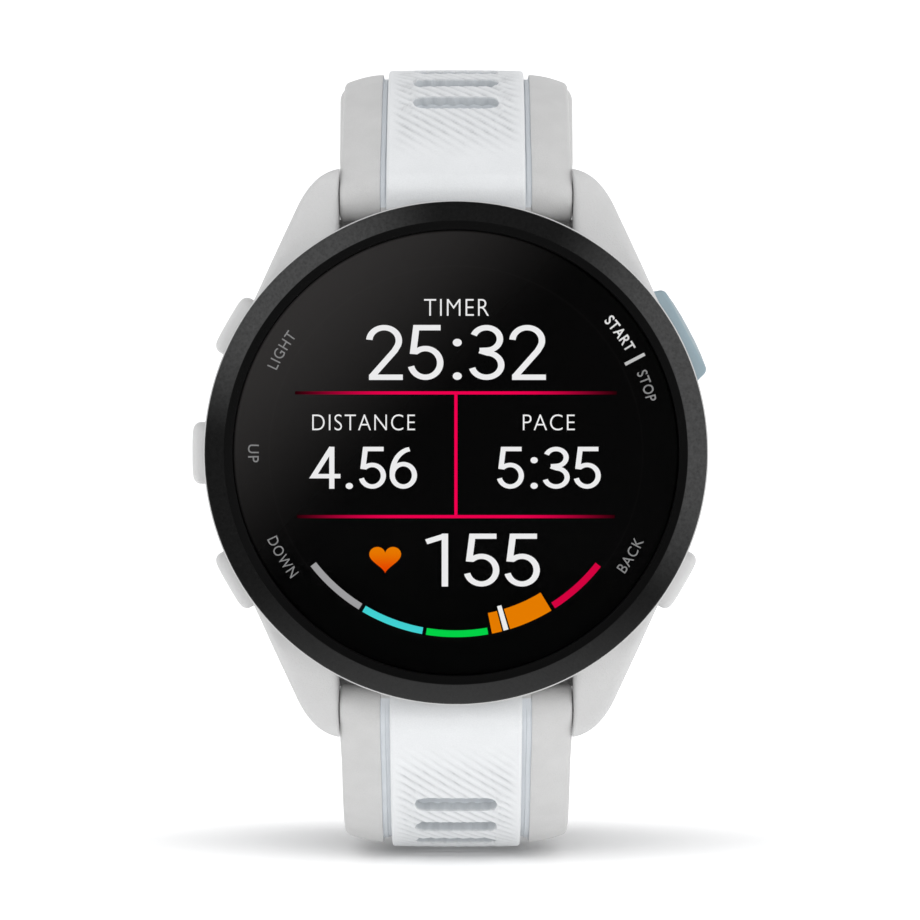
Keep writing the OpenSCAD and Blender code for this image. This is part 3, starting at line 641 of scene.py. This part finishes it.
def makeBandPaint():
    # gray silicone, blue-gray where the mesh says that it is sunk below the outer face
    made = Finish("bandSiliconeTwoTone", specular=0.35, sheen=0.1, sheenRough=0.5)
    fine, shade = made.mottled(0.1, 2.4)
    body = shade.tint((0.518, 0.516, 0.512), (0.563, 0.561, 0.557))
    groove = shade.tint((0.67, 0.7, 0.73), (0.71, 0.74, 0.77))
    made.set(color=body.blend(groove, made.mark("sunk").between(0.3, 0.5)),
             Roughness=fine * 0.14 + 0.54)
    return made.bump(fine, 0.03).material


def makeInlayPaint():
    # near-white silicone, with painted shade: grayer along the ridges' valleys and down the walls of the
    # slots
    made = Finish("inlaySiliconeRidged", specular=0.35, sheen=0.1, sheenRough=0.5)
    fine, shade = made.mottled(0.12, 2.6, 0.6)
    face = shade.tint((0.70, 0.712, 0.722), (0.745, 0.757, 0.767))
    # the valley and wall colours are painted shade
    valley = shade.tint((0.46, 0.475, 0.49), (0.5, 0.515, 0.53))
    wall = shade.tint((0.5, 0.525, 0.545), (0.54, 0.565, 0.585))
    outer = face.blend(valley, made.mark("valley") * 0.75)
    made.set(color=outer.blend(wall, made.mark("depth").between(0.02, 0.3)),
             Roughness=fine * 0.14 + 0.52)
    return made.bump(fine, 0.02).material


bandPaint, inlayPaint = makeBandPaint(), makeInlayPaint()
for half, bend, length, end, mirror in (("upper", upperBend, upperLength, 8.0, 1),
                                       ("lower", lowerBend, lowerLength, 2.4, -1)):
    count, tail, body = slotCount[half], half == "lower", half + "_half"
    makeBand("band" + half.capitalize(), bend, length, count, mirror, body, "strap_" + half, tail)
    makeInlay("inlay" + half.capitalize(), bend, length - end, count, mirror, body, "inlay_" + half, tail)
print("strap done")

# case: a turned ring with pockets for the caps, and four lofted lugs
case = {
    "radius": 21.7, "inner": 18.6, "low": 1.2, "top": 9.4, "capHeight": 3.1, "buttonUp": 5.5,
    "gap": 0.15, "pocketRadius": 20.4, "lugIn": 10.15, "lugNose": 2.1, "carve": 2.75,
    "lugGap": 10.13, "seat": 17.66, "ledge": 14.9,
}
buttons = {  # angle round the case, length, slant of the ends
    "light": (150.0, 5.4, 0.0), "up": (180.0, 5.4, 0.0), "down": (210.0, 5.4, 0.0),
    "back": (330.0, 5.4, 0.0), "start": (28.1, 8.0, 1.1),
}


def makeCaseRing():
    # a turned profile whose radius is cut back at the buttons' pockets and at the strap's barrels
    r, low, top, seat, ledge = (case[key] for key in ("radius", "low", "top", "seat", "ledge"))
    pocketLow = case["buttonUp"] - case["capHeight"] / 2 - case["gap"]
    pocketHigh = case["buttonUp"] + case["capHeight"] / 2 + case["gap"]
    levels = [3.5, pocketLow - 0.01, pocketLow + 0.01, 4.2, 4.8, 5.4, 6.0, 6.5, 6.85, 6.94, 6.96,
              pocketHigh - 0.01, pocketHigh + 0.01, 8.0, 8.75]
    foot = rounded([(seat, low + 0.3), (seat, low), (r - 2.4, low), (r - 0.5, low + 1.15),
                    (r, low + 2.3)], [0, 0.1, 0.8, 0.9, 0], 6)
    head = rounded([(r, top - 0.6), (r, top - 0.02), (r - 0.28, top), (case["inner"], top)],
                   [0, 0.2, 0.1, 0], 5)
    inside = [(case["inner"], 4.0), (ledge, 4.0), (ledge, 2.4), (seat, 2.4)]
    profile = np.concatenate([foot, [(r, level) for level in levels], head, inside])
    notch = math.degrees(math.acos(case["lugIn"] / r))
    lines, pockets = [np.arange(0, 360, 1.25)], []
    for a in (notch, 180 - notch, 180 + notch, 360 - notch):
        lines.append([a - 0.02, a + 0.02])
    for angle, long, slant in buttons.values():
        half = math.degrees(math.asin((long / 2 + slant * 0.65 + case["gap"]) / r))
        pockets.append((angle, half))
        lines.append([(angle + side * (half + e)) % 360 for side in (-1, 1) for e in (-0.03, 0.03)])
    degrees = np.unique(np.round(np.concatenate(lines), 3))
    turn = np.radians(degrees)[:, None]
    points = revolve(profile, turn[:, 0])
    height, radius = points[..., 2], np.hypot(points[..., 0], points[..., 1])
    outer = radius > 20.0
    for angle, half in pockets:
        near = np.abs((degrees - angle + 180) % 360 - 180) < half
        inside = (height > pocketLow) & (height < pocketHigh) & outer
        radius = np.where(near[:, None] & inside, case["pocketRadius"], radius)
    # between the lugs the wall stops short of the strap's barrel
    drop = np.clip(case["carve"] ** 2 - (height - strap["pinOut"]) ** 2, 0, None)
    limit = (strap["pinUp"] - np.sqrt(drop)) / np.maximum(np.abs(np.sin(turn)), 0.1)
    between = np.abs(np.cos(turn)) * r < case["lugIn"]
    lowWall = height < strap["pinOut"] + case["carve"] - 0.004
    radius = np.where(between & lowWall & outer, np.minimum(radius, limit), radius)
    points[..., 0], points[..., 1] = radius * np.cos(turn), radius * np.sin(turn)
    return points.reshape(-1, 3), gridFaces(len(degrees), len(profile), True, True)


def makeLug(signX, signY):
    # stations up the lug; each is a squared-off oval between the inner and outer outlines
    pin, out, nose, count = strap["pinUp"], strap["pinOut"], case["lugNose"], 64
    curve = np.linspace(0, 1, 30)[:, None]
    a, b, c = np.array([13.85, 21.1]), np.array([12.5, 24.2]), np.array([10.2, 24.7])
    bend = (1 - curve) ** 2 * a + 2 * curve * (1 - curve) * b + curve ** 2 * c
    plan = np.concatenate([[[19.2, 9.6], [17.22, 13.62]], bend])
    tip = pin + nose
    y = np.concatenate([np.linspace(11.6, 20.5, 16), np.linspace(20.5, 23.6, 12)[1:],
                        tip - 1.1 * (1 - np.sin(np.linspace(0.05, math.pi / 2, 14)))])
    y = np.clip(np.sort(y), 11.6, tip - 0.0005)
    xOut = np.interp(y, plan[:, 1], plan[:, 0])
    xIn = np.maximum(case["lugGap"], np.sqrt(np.clip(19.6 ** 2 - y ** 2, 0, None)))
    xIn = np.minimum(xIn, xOut - 0.02)
    # low and high lines: the case's flank, then a half circle of the nose's radius round the bar
    arc = np.sqrt(np.clip(nose ** 2 - (y - pin) ** 2, 0.0, None))
    lowLine = np.interp(y, [0, 19.2, pin + 0.3], [1.75, 1.75, 2.12])
    highLine = np.interp(y, [0, 16.6, 18.6, 20.4, 22.2, pin + 1.05], [8.9, 8.75, 8.1, 7.25, 6.55, 6.02])
    zLow = np.where(y > pin + 0.3, out - arc, lowLine)
    zHigh = np.where(y > pin + 1.05, out + arc, highLine)
    u = np.linspace(0, 2 * math.pi, count, endpoint=False)
    power = 2 / 7.0
    ox, oz = (np.sign(v) * np.abs(v) ** power for v in (np.cos(u), np.sin(u)))
    x = (xIn + xOut)[:, None] / 2 + (xOut - xIn)[:, None] / 2 * ox
    z = (zLow + zHigh)[:, None] / 2 + (zHigh - zLow)[:, None] / 2 * oz
    points = closeEnds(np.stack([x, np.broadcast_to(y[:, None], x.shape), z], -1))
    return (points.reshape(-1, 3) * np.array([signX, signY, 1.0]),
            gridFaces(len(points), count, False, True))


def joinParts(parts):
    # (points, faces) pairs as one, each one's faces counted on from the points before it
    points, faces, start = [], [], 0
    for p, f in parts:
        points.append(p)
        faces.append(f + start)
        start += len(p)
    return np.concatenate(points), np.concatenate(faces)


def makeWeb(signX, signY):
    # the case's back corner between ring and lug: a small flat outline given a height
    plan = rounded([(7.2, 17.2), (10.4, 17.2), (10.4, 20.4), (8.9, 20.4), (7.2, 19.6)], 0.25, 4)
    level = np.array([1.5, 1.55, 2.35, 2.4])[:, None, None]
    inset = np.array([0.97, 1.0, 1.0, 0.97])[:, None, None]
    middle = plan.mean(0)
    p = middle + (plan - middle)[None] * inset
    points = closeEnds(np.concatenate([p, np.broadcast_to(level, p.shape[:2] + (1,))], -1))
    return points.reshape(-1, 3) * np.array([signX, signY, 1.0]), gridFaces(*points.shape[:2], False, True)


ring = meshPiece("caseRing", *makeCaseRing(), "case", "case_polymer", caseGray, 30)
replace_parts(ring, "mid_case")
lugPoints, lugFaces = joinParts([make(sx, sy) for make in (makeLug, makeWeb)
                                   for sx in (1, -1) for sy in (1, -1)])
meshPiece("caseLugs", lugPoints, lugFaces, "case", "case_polymer", caseGray, 60)

# bezel, glass and display: (radius, height) outlines
bezel = {"outer": 21.5, "top": 11.6, "low": 9.4, "flatIn": 19.82, "lensSeat": 19.1, "seatUp": 10.35,
         "inner": 17.9}
glass = {"radius": 19.05, "low": 10.5, "top": 11.27}
panel = {"radius": 19.06, "foot": 17.0, "low": 9.05, "step": 10.38, "top": 10.42}
bezelProfile = rounded(
    [(bezel["outer"], bezel["low"]), (bezel["outer"], bezel["top"] - 0.02),
     (bezel["flatIn"], bezel["top"]), (bezel["lensSeat"], bezel["top"] - 0.36),
     (bezel["lensSeat"], bezel["seatUp"]), (bezel["inner"], bezel["seatUp"]),
     (bezel["inner"], bezel["low"])], [0.05, 0.42, 0.09, 0.03, 0, 0, 0], 8)
glassProfile = rounded(
    [(0.001, glass["low"]), (glass["radius"], glass["low"]), (glass["radius"], glass["top"]),
     (0.001, glass["top"])], [0, 0.02, 0.1, 0], 4)
panelProfile = [(0.001, panel["low"]), (panel["foot"], panel["low"]), (panel["foot"], panel["step"]),
                (panel["radius"], panel["step"]), (panel["radius"], panel["top"]), (0.001, panel["top"])]
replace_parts(turned("bezelRing", bezelProfile, "bezel_metal", bezelPaint, 360, 50), "bezel")
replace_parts(turned("lensGlass", glassProfile, "lens_glass", coverGlass, 200, 40), "lens")
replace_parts(turned("displayFace", panelProfile, "display", panelBlack, 200, 40), "display_panel")
print("case done")

inkUp = 10.45  # height of the lit and printed graphics, between the panel and the glass


def inked(x, y, up=inkUp):
    return np.stack([x, y, np.full(len(x), up)], 1)


def ribbon(path, width, closed=False):
    # a flat stroke: the path moved half the width to each side along its mitred normals
    p = np.asarray(path, float)
    ahead, behind = np.roll(p, -1, 0) - p, p - np.roll(p, 1, 0)
    if not closed:
        ahead[-1], behind[0] = behind[-1], ahead[0]
    unit = lambda v: v / np.maximum(np.linalg.norm(v, axis=1, keepdims=True), 1e-9)
    ahead, behind = unit(ahead), unit(behind)
    mean = unit(ahead + behind)
    stretch = 1 / np.clip((mean * ahead).sum(1, keepdims=True), 0.5, 1)
    normal = np.stack([-mean[:, 1], mean[:, 0]], 1) * stretch * width / 2
    return np.stack([p + normal, p - normal], 1).reshape(-1, 2), gridFaces(len(p), 2, closed, False)


def arcPath(cx, cy, rx, ry, start, stop, count=28):
    # an oval arc between two angles in degrees
    a = np.radians(np.linspace(start, stop, count))
    return np.stack([cx + rx * np.cos(a), cy + ry * np.sin(a)], 1)


def glyph(char, w):
    # (path, width, closed) strokes in a box one unit high, and the step to the next glyph
    h = w / 2
    join = lambda *parts: (np.concatenate([np.atleast_2d(np.asarray(q, float)) for q in parts]), w, False)
    if char == "1":
        return [join([(0.06, 0.845), (0.345, 0.955)]), join([(0.345, 1.0), (0.345, 0.0)])], 0.62
    if char == "2":
        return [join(arcPath(0.275, 0.715, 0.225, 0.285 - h, 176, -22, 26),
                     [(0.435, 0.53), (0.085, h + 0.01)]), join([(0.045, h), (0.56, h)])], 0.62
    if char == "3":
        return [join(arcPath(0.275, 0.745, 0.205, 0.255 - h, 160, -88, 24), [(0.17, 0.535)]),
                join([(0.17, 0.535)], arcPath(0.275, 0.27, 0.225, 0.27 - h, 86, -166))], 0.62
    if char == "4":
        return [join([(0.425, 0.985), (0.055, 0.3), (0.6, 0.3)]), join([(0.425, 1.0), (0.425, 0.0)])], 0.64
    if char == "5":
        return [join([(0.515, 1 - h), (0.145, 1 - h), (0.1, 0.52)],
                     arcPath(0.285, 0.31, 0.225, 0.31 - h, 128, -166, 30))], 0.62
    if char == "6":
        return [join(arcPath(0.47, 0.36, 0.4, 0.64 - h, 97, 180, 16)),
                (arcPath(0.295, 0.32, 0.225, 0.32 - h, 0, 360, 40)[:-1], w, True)], 0.63
    dot = lambda cx, cy: (arcPath(cx, cy, w * 0.34, w * 0.34, 0, 360, 18)[:-1], w * 0.72, True)
    if char == ":":
        return [dot(0.15, 0.68), dot(0.15, 0.07)], 0.32
    return [dot(0.14, w * 0.62)], 0.32


def digits(text, box, weight):
    # the glyphs side by side, stretched to fill box = (left, right, top, bottom) in mm
    left, right, top, bottom = box
    parts, cursor = [], 0.0
    for char in text:
        strokes, step = glyph(char, weight)
        for path, width, closed in strokes:
            p, f = ribbon(path, width, closed)
            parts.append((p + np.array([cursor, 0.0]), f))
        cursor += step
    points, faces = joinParts(parts)
    low, high = points[:, 0].min(), points[:, 0].max()
    x = left + (points[:, 0] - low) / (high - low) * (right - left)
    return inked(x, bottom + points[:, 1] * (top - bottom)), faces


def wordMesh(text, weight):
    # the built-in face as flat polygons, one unit high and one unit wide, centred
    curve = bpy.data.curves.new("word", "FONT")
    curve.body, curve.fill_mode, curve.resolution_u = text, "FRONT", 6
    curve.offset, curve.space_character = weight, 1.12
    holder = bpy.data.objects.new("word", curve)
    scene.collection.objects.link(holder)
    bpy.context.view_layer.update()
    mesh = bpy.data.meshes.new_from_object(holder)
    co = np.zeros(len(mesh.vertices) * 3)
    mesh.vertices.foreach_get("co", co)
    co = co.reshape(-1, 3)[:, :2]
    mesh.calc_loop_triangles()
    tri = np.zeros(len(mesh.loop_triangles) * 3, int)
    mesh.loop_triangles.foreach_get("vertices", tri)
    bpy.data.objects.remove(holder)
    bpy.data.curves.remove(curve)
    bpy.data.meshes.remove(mesh)
    low, high = co.min(0), co.max(0)
    return (co - (low + high) / 2) / (high - low), tri.reshape(-1, 3)


def word(text, box, weight):
    # stretched to fill box = (left, right, top, bottom) in mm
    left, right, top, bottom = box
    points, faces = wordMesh(text, weight)
    return inked((left + right) / 2 + points[:, 0] * (right - left),
                 (top + bottom) / 2 + points[:, 1] * (top - bottom)), faces


def arcWord(text, angle, radius, long, tall, outward, weight):
    # a word wrapped on a circle: along it clockwise when its tops face outward
    points, faces = wordMesh(text, weight)
    side = 1 if outward else -1
    a = math.radians(angle) - side * points[:, 0] * long / radius
    r = radius + side * points[:, 1] * tall
    return inked(r * np.cos(a), r * np.sin(a)), faces


def arcBar(low, high, start, stop, up=inkUp):
    # a strip between two radii, from one angle to another in degrees
    a = np.radians(np.linspace(start, stop, 40))[:, None]
    r = np.array([low, high])
    return inked((r * np.cos(a)).ravel(), (r * np.sin(a)).ravel(), up), gridFaces(40, 2)


def flatRibbon(path, width):
    p, f = ribbon(path, width)
    return inked(p[:, 0], p[:, 1]), f


def addFlat(name, parts, material):
    # flat graphics given a body 0.02 high: a copy above, and walls along edges used only once
    points, faces = joinParts(parts)
    n, sides = len(points), faces.shape[1]
    edges = np.concatenate([np.stack([faces[:, k], faces[:, (k + 1) % sides]], 1) for k in range(sides)])
    _, first, count = np.unique(np.sort(edges, 1), axis=0, return_index=True, return_counts=True)
    rim = edges[first[count == 1]]
    walls = np.stack([rim[:, 0], rim[:, 1], rim[:, 1] + n, rim[:, 0] + n], 1)
    both = np.concatenate([points, points + np.array([0, 0, 0.02])])
    meshPiece(name, both, [faces[:, ::-1], faces + n, walls], "case", "display", material, 20, 0.0001)


def makeHeartPaint():
    # redder at the foot, more orange at the top
    made = Finish("litHeartWarm", color=gray(0.0), specular=0.0)
    x, y, z = made.place()
    made.set(glow=z.between(-10.2, -8.2).tint((0.77, 0.06, 0.0), (0.78, 0.19, 0.0)), glowPower=1.0)
    return made.material


# graphics in mm from the display's centre; a box is (left, right, top, bottom)
titles = {
    "timerWord": [("TIMER", (-2.73, 2.83, 13.17, 11.74))],
    "fieldWords": [("DISTANCE", (-12.31, -3.5, 3.29, 1.92)), ("PACE", (5.74, 10.19, 3.29, 1.92))],
}
figures = {
    "timerDigits": ("25:32", (-7.69, 7.71, 10.95, 6.24), 0.098),
    "distanceDigits": ("4.56", (-12.57, -3.33, 0.51, -3.08), 0.105),
    "paceDigits": ("5:35", (3.52, 12.41, 0.51, -3.08), 0.105),
    "pulseDigits": ("155", (-2.64, 7.19, -6.93, -11.46), 0.098),
}
lines = {"width": 0.27, "high": 5.13, "low": -5.47, "highReach": 13.78, "lowReach": 13.6,
         "fadeTo": 14.7, "fade": 10.5}
heart = {"at": (-6.06, -9.2), "size": (2.73, 2.27)}
gauge = {  # inner radius, first and last angle, colour
    "Gray": (15.22, 218, 238.2, (0.333, 0.333, 0.34)),
    "Cyan": (15.22, 239.5, 259.4, (0.054, 0.63, 0.64)),
    "Green": (15.22, 260.6, 280.1, (0.001, 0.645, 0.062)),
    "Orange": (14.0, 281.3, 301.2, (0.775, 0.2, 0.0)),
    "Crimson": (15.22, 302.5, 321.8, (0.64, 0.001, 0.05)),
}
labels = {  # angle, length, whether its tops face outward, extra weight
    "LIGHT": (149.5, 3.48, True, 0.0), "UP": (180.2, 1.53, False, 0.0),
    "DOWN": (211.0, 3.8, False, 0.0), "BACK": (329.6, 3.15, False, 0.0),
    "STOP": (19.3, 2.72, True, 0.01),
}
labelRadius, labelHeight = 17.36, 0.92
white, whiteWord = (makeLight(name, (0.83, 0.83, 0.835)) for name in ("litWhite", "litWord"))
crimson = makeLight("litCrimson", (0.84, 0.0, 0.075), 1.0,
                    lambda x, y, z: (lines["fadeTo"] - x.absolute()).between(0.0, lines["fade"]))
# printed gray labels, given a faint glow of painted light
inkGrayPaintedLight = grained("inkGrayPaintedLight", gray(0.1), 0.5, grain=0.3, depth=0.0, glow=(0.1, 0.1, 0.102),
                  glowPower=0.7)
# printed START word and tick: white ink drawn as painted light, brighter higher up the display
inkWhitePaintedLight = makeLight("inkWhitePaintedLight", (0.8, 0.8, 0.8), 0.9,
                      lambda x, y, z: (z - x * 0.25).between(2.0, 7.5) * 0.45 + 0.55)

for name, words in titles.items():
    addFlat(name, [word(text, box, -0.012) for text, box in words], whiteWord)
for name, (text, box, weight) in figures.items():
    addFlat(name, [digits(text, box, weight)], white)
cross = [np.stack([np.linspace(-reach, reach, 40), np.full(40, lines[level])], 1)
         for level, reach in (("high", lines["highReach"]), ("low", lines["lowReach"]))]
cross.append(np.array([(0.0, 4.99), (0.0, 0.0), (0.0, -5.33)]))
addFlat("fieldLines", [flatRibbon(p, lines["width"]) for p in cross], crimson)
# heart: x goes with the cube of the sine, y with a sum of four cosines
t = np.linspace(0, 2 * math.pi, 60, endpoint=False)
curve = np.stack([16 * np.sin(t) ** 3,
                  13 * np.cos(t) - 5 * np.cos(2 * t) - 2 * np.cos(3 * t) - np.cos(4 * t)], 1)
curve = (curve - (curve.max(0) + curve.min(0)) / 2) / (curve.max(0) - curve.min(0))
curve = np.concatenate([curve * heart["size"] + heart["at"], [heart["at"]]])
fan = np.stack([np.full(60, 60), np.arange(60), (np.arange(60) + 1) % 60], 1)
addFlat("heartMark", [(inked(curve[:, 0], curve[:, 1]), fan)], makeHeartPaint())
for name, (low, start, stop, color) in gauge.items():
    addFlat("gauge" + name, [arcBar(low, 15.8, start, stop)], makeLight("litArc" + name, color))
addFlat("gaugeMarkEdge", [arcBar(13.5, 15.84, 284.5, 287.1, 10.475)], panelBlack)
addFlat("gaugeMark", [arcBar(13.62, 15.78, 285.0, 286.6, 10.482)], white)
addFlat("ringLabels", [arcWord(text, angle, labelRadius, long, labelHeight, outward, weight)
                       for text, (angle, long, outward, weight) in labels.items()], inkGrayPaintedLight)
addFlat("startLabel", [arcWord("START", 36.0, labelRadius + 0.05, 3.4, 0.95, True, 0.018)], inkWhitePaintedLight)
tickAngle = math.radians(27.6)
tick = np.array([(math.cos(tickAngle) * r, math.sin(tickAngle) * r) for r in (16.35, 17.3, 18.25)])
addFlat("startTick", [flatRibbon(tick, 0.28)], inkWhitePaintedLight)
print("display done")

# button caps; foot and top are radii from the watch's middle
cap = {"foot": 20.95, "top": 22.84, "dome": 0.02, "straight": (1.15, 0.62), "slanted": (0.3, 0.34)}


def makeCap(name, angle, long, slant, material, slotName):
    # outlines stacked outwards, their edge rolled in over a quarter circle, then a low dome;
    # all bowed back with the square of the distance from the cap's middle, to follow the case
    foot, top, halfHigh = cap["foot"], cap["top"], case["capHeight"] / 2
    corner, roll = cap["slanted"] if slant else cap["straight"]
    turn = np.linspace(0, math.pi / 2, 9)
    insets = np.concatenate([[0, 0], roll * (1 - np.cos(turn))])
    levels = np.concatenate([[foot, (foot + top) / 2], top - roll + roll * np.sin(turn)])
    rows = []
    for inset, level in zip(insets, levels):  # one outline per height
        t, z = long / 2 - inset + slant * (top - level) / (top - foot) * 0.55, halfHigh - inset
        side = rounded([(-t, -z), (t, -z), (t, z), (-t, z)], max(corner - inset, 0.12), 24)
        rows.append(np.stack([np.full(len(side), level), side[:, 0], side[:, 1]], 1))
    first, rim = rows[0], rows[-1]
    for k in (0.7, 0.35, 0.001):
        rows.append(rim * (1, k, k) + np.array([cap["dome"] * (1 - k * k), 0, 0]))
    p = np.stack([first * (1, 0.001, 0.001), *rows])
    out, across = p[..., 0], p[..., 1]
    out = out - across ** 2 / (2 * top) * (out > foot + 0.5)
    a = math.radians(angle)
    points = np.stack([out * math.cos(a) - across * math.sin(a),
                       out * math.sin(a) + across * math.cos(a), p[..., 2] + case["buttonUp"]], -1)
    piece = meshPiece("cap" + name.capitalize(), points, gridFaces(*points.shape[:2], False, True),
                      "button_" + name, slotName, material, 50)
    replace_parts(piece, "cap_" + name)


for name, (angle, long, slant) in buttons.items():
    paint = (capBlue, "button_blue") if name == "start" else (capGray, "button_gray")
    makeCap(name, angle, long, slant, *paint)
print("buttons done")

# buckle, tongue and keepers, drawn in the frame of the strap's end: across, ahead, outward
buckle = {"at": upperLength + 2.6, "reach": 9.6, "arm": 2.0, "thick": 2.4, "inX": 10.3,
          "tongue": 5.4, "fillet": 0.7, "corner": 2.4, "back": -1.55}
keeper = {"wall": 1.0, "long": 5.0, "edge": 0.45, "room": 1.2,
          "fixedAt": buckle["at"] - 8.4, "slidingAt": buckle["at"] - 16}
strapEnd = {"radius": 1.75, "gap": 0.3, "backTo": -3.2}


def toPath(points, s):
    # turned by the upper half's heading at s and moved to its middle line there
    y, z, h = (float(v) for v in alongBend(upperBend, s))
    p = np.asarray(points).reshape(-1, 3)
    return np.stack([p[:, 0], y + p[:, 1] * math.cos(h) - p[:, 2] * math.sin(h),
                     z + p[:, 1] * math.sin(h) + p[:, 2] * math.cos(h)], 1)


def loftPiece(name, points, s, body, slotName, material, sharp, node, wrapRows=False):
    # rows of closed outlines, each joined to the next, put at s along the upper half
    faces = gridFaces(*points.shape[:2], wrapRows, True)
    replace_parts(meshPiece(name, toPath(points, s), faces, body, slotName, material, sharp), node)


def makeBuckle():
    # a rounded rectangle carried square to its path: two straight arms, round corners, the front
    side, front = buckle["inX"] + buckle["arm"] / 2, buckle["reach"] + buckle["arm"] / 2
    back, corner = buckle["back"], buckle["corner"]
    turn = rounded([(-side, back), (-side, front), (side, front), (side, back)],
                   [0, corner, corner, 0], 12)[1:-1]
    arm = np.linspace(back, front - corner - 0.2, 6)
    path = np.concatenate([np.stack([np.full(6, -side), arm], 1), turn,
                           np.stack([np.full(6, side), arm[::-1]], 1)])
    ahead = np.gradient(path, axis=0)
    ahead /= np.linalg.norm(ahead, axis=1, keepdims=True)
    normal = np.stack([ahead[:, 1], -ahead[:, 0]], 1)
    w, t = buckle["arm"] / 2, buckle["thick"] / 2
    shape = rounded([(-w, -t), (w, -t), (w, t), (-w, t)], buckle["fillet"], 6)[None]
    p = path[:, None, :] + normal[:, None, :] * shape[..., :1]
    points = np.concatenate([p, np.broadcast_to(shape[..., 1:], p.shape[:2] + (1,))], -1)
    loftPiece("buckleLoop", closeEnds(points), buckle["at"], "buckle", "buckle_steel", steel, 50,
              "buckle_frame")


def makeTongue():
    # a side profile made as wide as the tongue, narrowed towards the tip and rolled in at the sides
    top = buckle["thick"] / 2 + 0.12
    end = buckle["reach"] + buckle["arm"] + 0.1
    side = rounded([(-1.3, 0.9), (-1.45, -0.2), (-0.6, -1.3), (1.2, -0.85), (3.2, -0.25), (9.0, top),
                    (end, top), (end, top + 0.75), (9.2, top + 0.98), (3.0, 1.15), (0.4, 1.45)],
                   [0.5, 0.6, 0.6, 0.5, 0.8, 0.8, 0.2, 0.3, 1.0, 1.2, 0.7], 6)
    across = np.array([-1, -0.97, -0.9, -0.5, 0, 0.5, 0.9, 0.97, 1])
    inset = np.array([0.14, 0.05, 0, 0, 0, 0, 0, 0.05, 0.14]) * 1.1
    width = buckle["tongue"] / 2 * (1 - 0.16 * np.clip(side[:, 0] / end, 0, 1))
    along = np.roll(side, -1, 0) - np.roll(side, 1, 0)
    normal = np.stack([along[:, 1], -along[:, 0]], 1) / np.linalg.norm(along, axis=1, keepdims=True)
    flat = side[None] - normal[None] * inset[:, None, None]
    points = np.concatenate([(across[:, None] * width[None])[..., None], flat], -1)
    loftPiece("tongueBlade", closeEnds(points), buckle["at"], "tongue_body", "buckle_steel", steel, 40,
              "tongue")


def makeKeeper(name, s, gap, faceGap, body, node):
    # a loop: outer and inner rounded rectangles across the strap, with rolled edges between them
    wall, long, edge = keeper["wall"], keeper["long"], keeper["edge"]
    low, high = -strap["thick"] / 2 - faceGap, strap["thick"] * 1.5 + keeper["room"]
    wide = strap["width"] / 2 + gap
    inner, outer = (rounded([(-wide - d, low - d), (wide + d, low - d), (wide + d, high + d),
                             (-wide - d, high + d)], radii, 10)
                    for d, radii in ((0, [0.1, 0.1, 0.8, 0.8]), (wall, [0.7, 0.7, 1.6, 1.6])))
    turn = np.linspace(0, math.pi / 2, 6)
    place, depth = edge * (1 - np.cos(turn)) - long / 2, edge * (1 - np.sin(turn)) / wall
    depth = np.concatenate([depth, depth[::-1], [1, 1]])
    place = np.concatenate([place, -place[::-1], [long / 2 - 0.02, -long / 2 + 0.02]])
    loop = outer[None] + (inner - outer)[None] * depth[:, None, None]
    y = np.broadcast_to(place[:, None], loop.shape[:2])
    points = np.stack([loop[..., 0], y, loop[..., 1]], -1)
    loftPiece(name, points, s, body, "strap_silicone", bandGray, 45, node, True)


def makeStrapEnd():
    # two barrels on the buckle bar, either side of the tongue, running back into the band
    parts, radius, back = [], strapEnd["radius"], strapEnd["backTo"]
    u = np.linspace(-2.35, 2.35, 30)
    arc = np.stack([radius * np.cos(u), radius * np.sin(u)], 1)
    outline = np.concatenate([arc, [[back + 0.5, 1.22], [back, 1.2], [back, -1.2], [back + 0.5, -1.22]]])
    middle = np.array([-0.6, 0.0])
    inset = np.array([0.45, 0.22, 0.08, 0, 0, 0, 0.08, 0.25, 0.5])
    p = middle + (outline - middle)[None] * (1 - inset / radius)[:, None, None]
    a, b = buckle["tongue"] / 2 + strapEnd["gap"], strap["width"] / 2
    x = np.array([a, a + 0.04, a + 0.15, a + 0.4, (a + b) / 2, b - 0.6, b - 0.25, b - 0.08, b])
    for side in (-1, 1):
        across = np.broadcast_to((x * side)[:, None, None], p.shape[:2] + (1,))
        points = closeEnds(np.concatenate([across, p], -1))
        parts.append((points.reshape(-1, 3), gridFaces(*points.shape[:2], False, True)))
    points, faces = joinParts(parts)
    meshPiece("strapEnd", toPath(points, buckle["at"]), faces, "upper_half", "strap_silicone",
              bandGray, 45)


makeBuckle()
makeTongue()
makeKeeper("keeperFixed", keeper["fixedAt"], 0.01, 0.1, "upper_half", "keeper_fixed")
makeKeeper("keeperSliding", keeper["slidingAt"], 0.2, 0.2, "keeper", "keeper_sliding")
makeStrapEnd()
print("buckle done")

# CAD nodes that keep their shape get their finish here
kept = {
    "lens_gasket": rubberBlack, "display_frame": plasticDark, "display_flex": flexAmber,
    "main_board": boardGreen, "shield_cans": tin, "board_chips": plasticDark, "gps_antenna": gold,
    "barometer": tin, "battery": foil, "battery_pad": rubberBlack, "chassis": plasticDark,
    "chassis_screws": screwSteel, "vibration_motor": tin, "buzzer": gold, "button_switches": plasticDark,
    "case_gasket": rubberBlack, "back_cover": coverBlack, "back_screws": screwSteel,
    "sensor_window": sensorGlass, "sensor_board": boardBlack, "sensor_leds": ledClear,
    "sensor_barrier": plasticDark, "charge_insert": plasticDark, "charge_contacts": gold,
    "bar_upper": barSteel, "bar_lower": barSteel, "release_upper": barSteel, "release_lower": barSteel,
    "buckle_bar": barSteel,
}
for name in buttons:
    kept["stem_" + name] = barSteel
    kept["seal_" + name] = rubberBlack
for name, material in kept.items():
    slots = nodes[name].data.materials
    for k in range(len(slots)):
        slots[k] = material
    if not len(slots):
        slots.append(material)
print("finishes on the frame done")
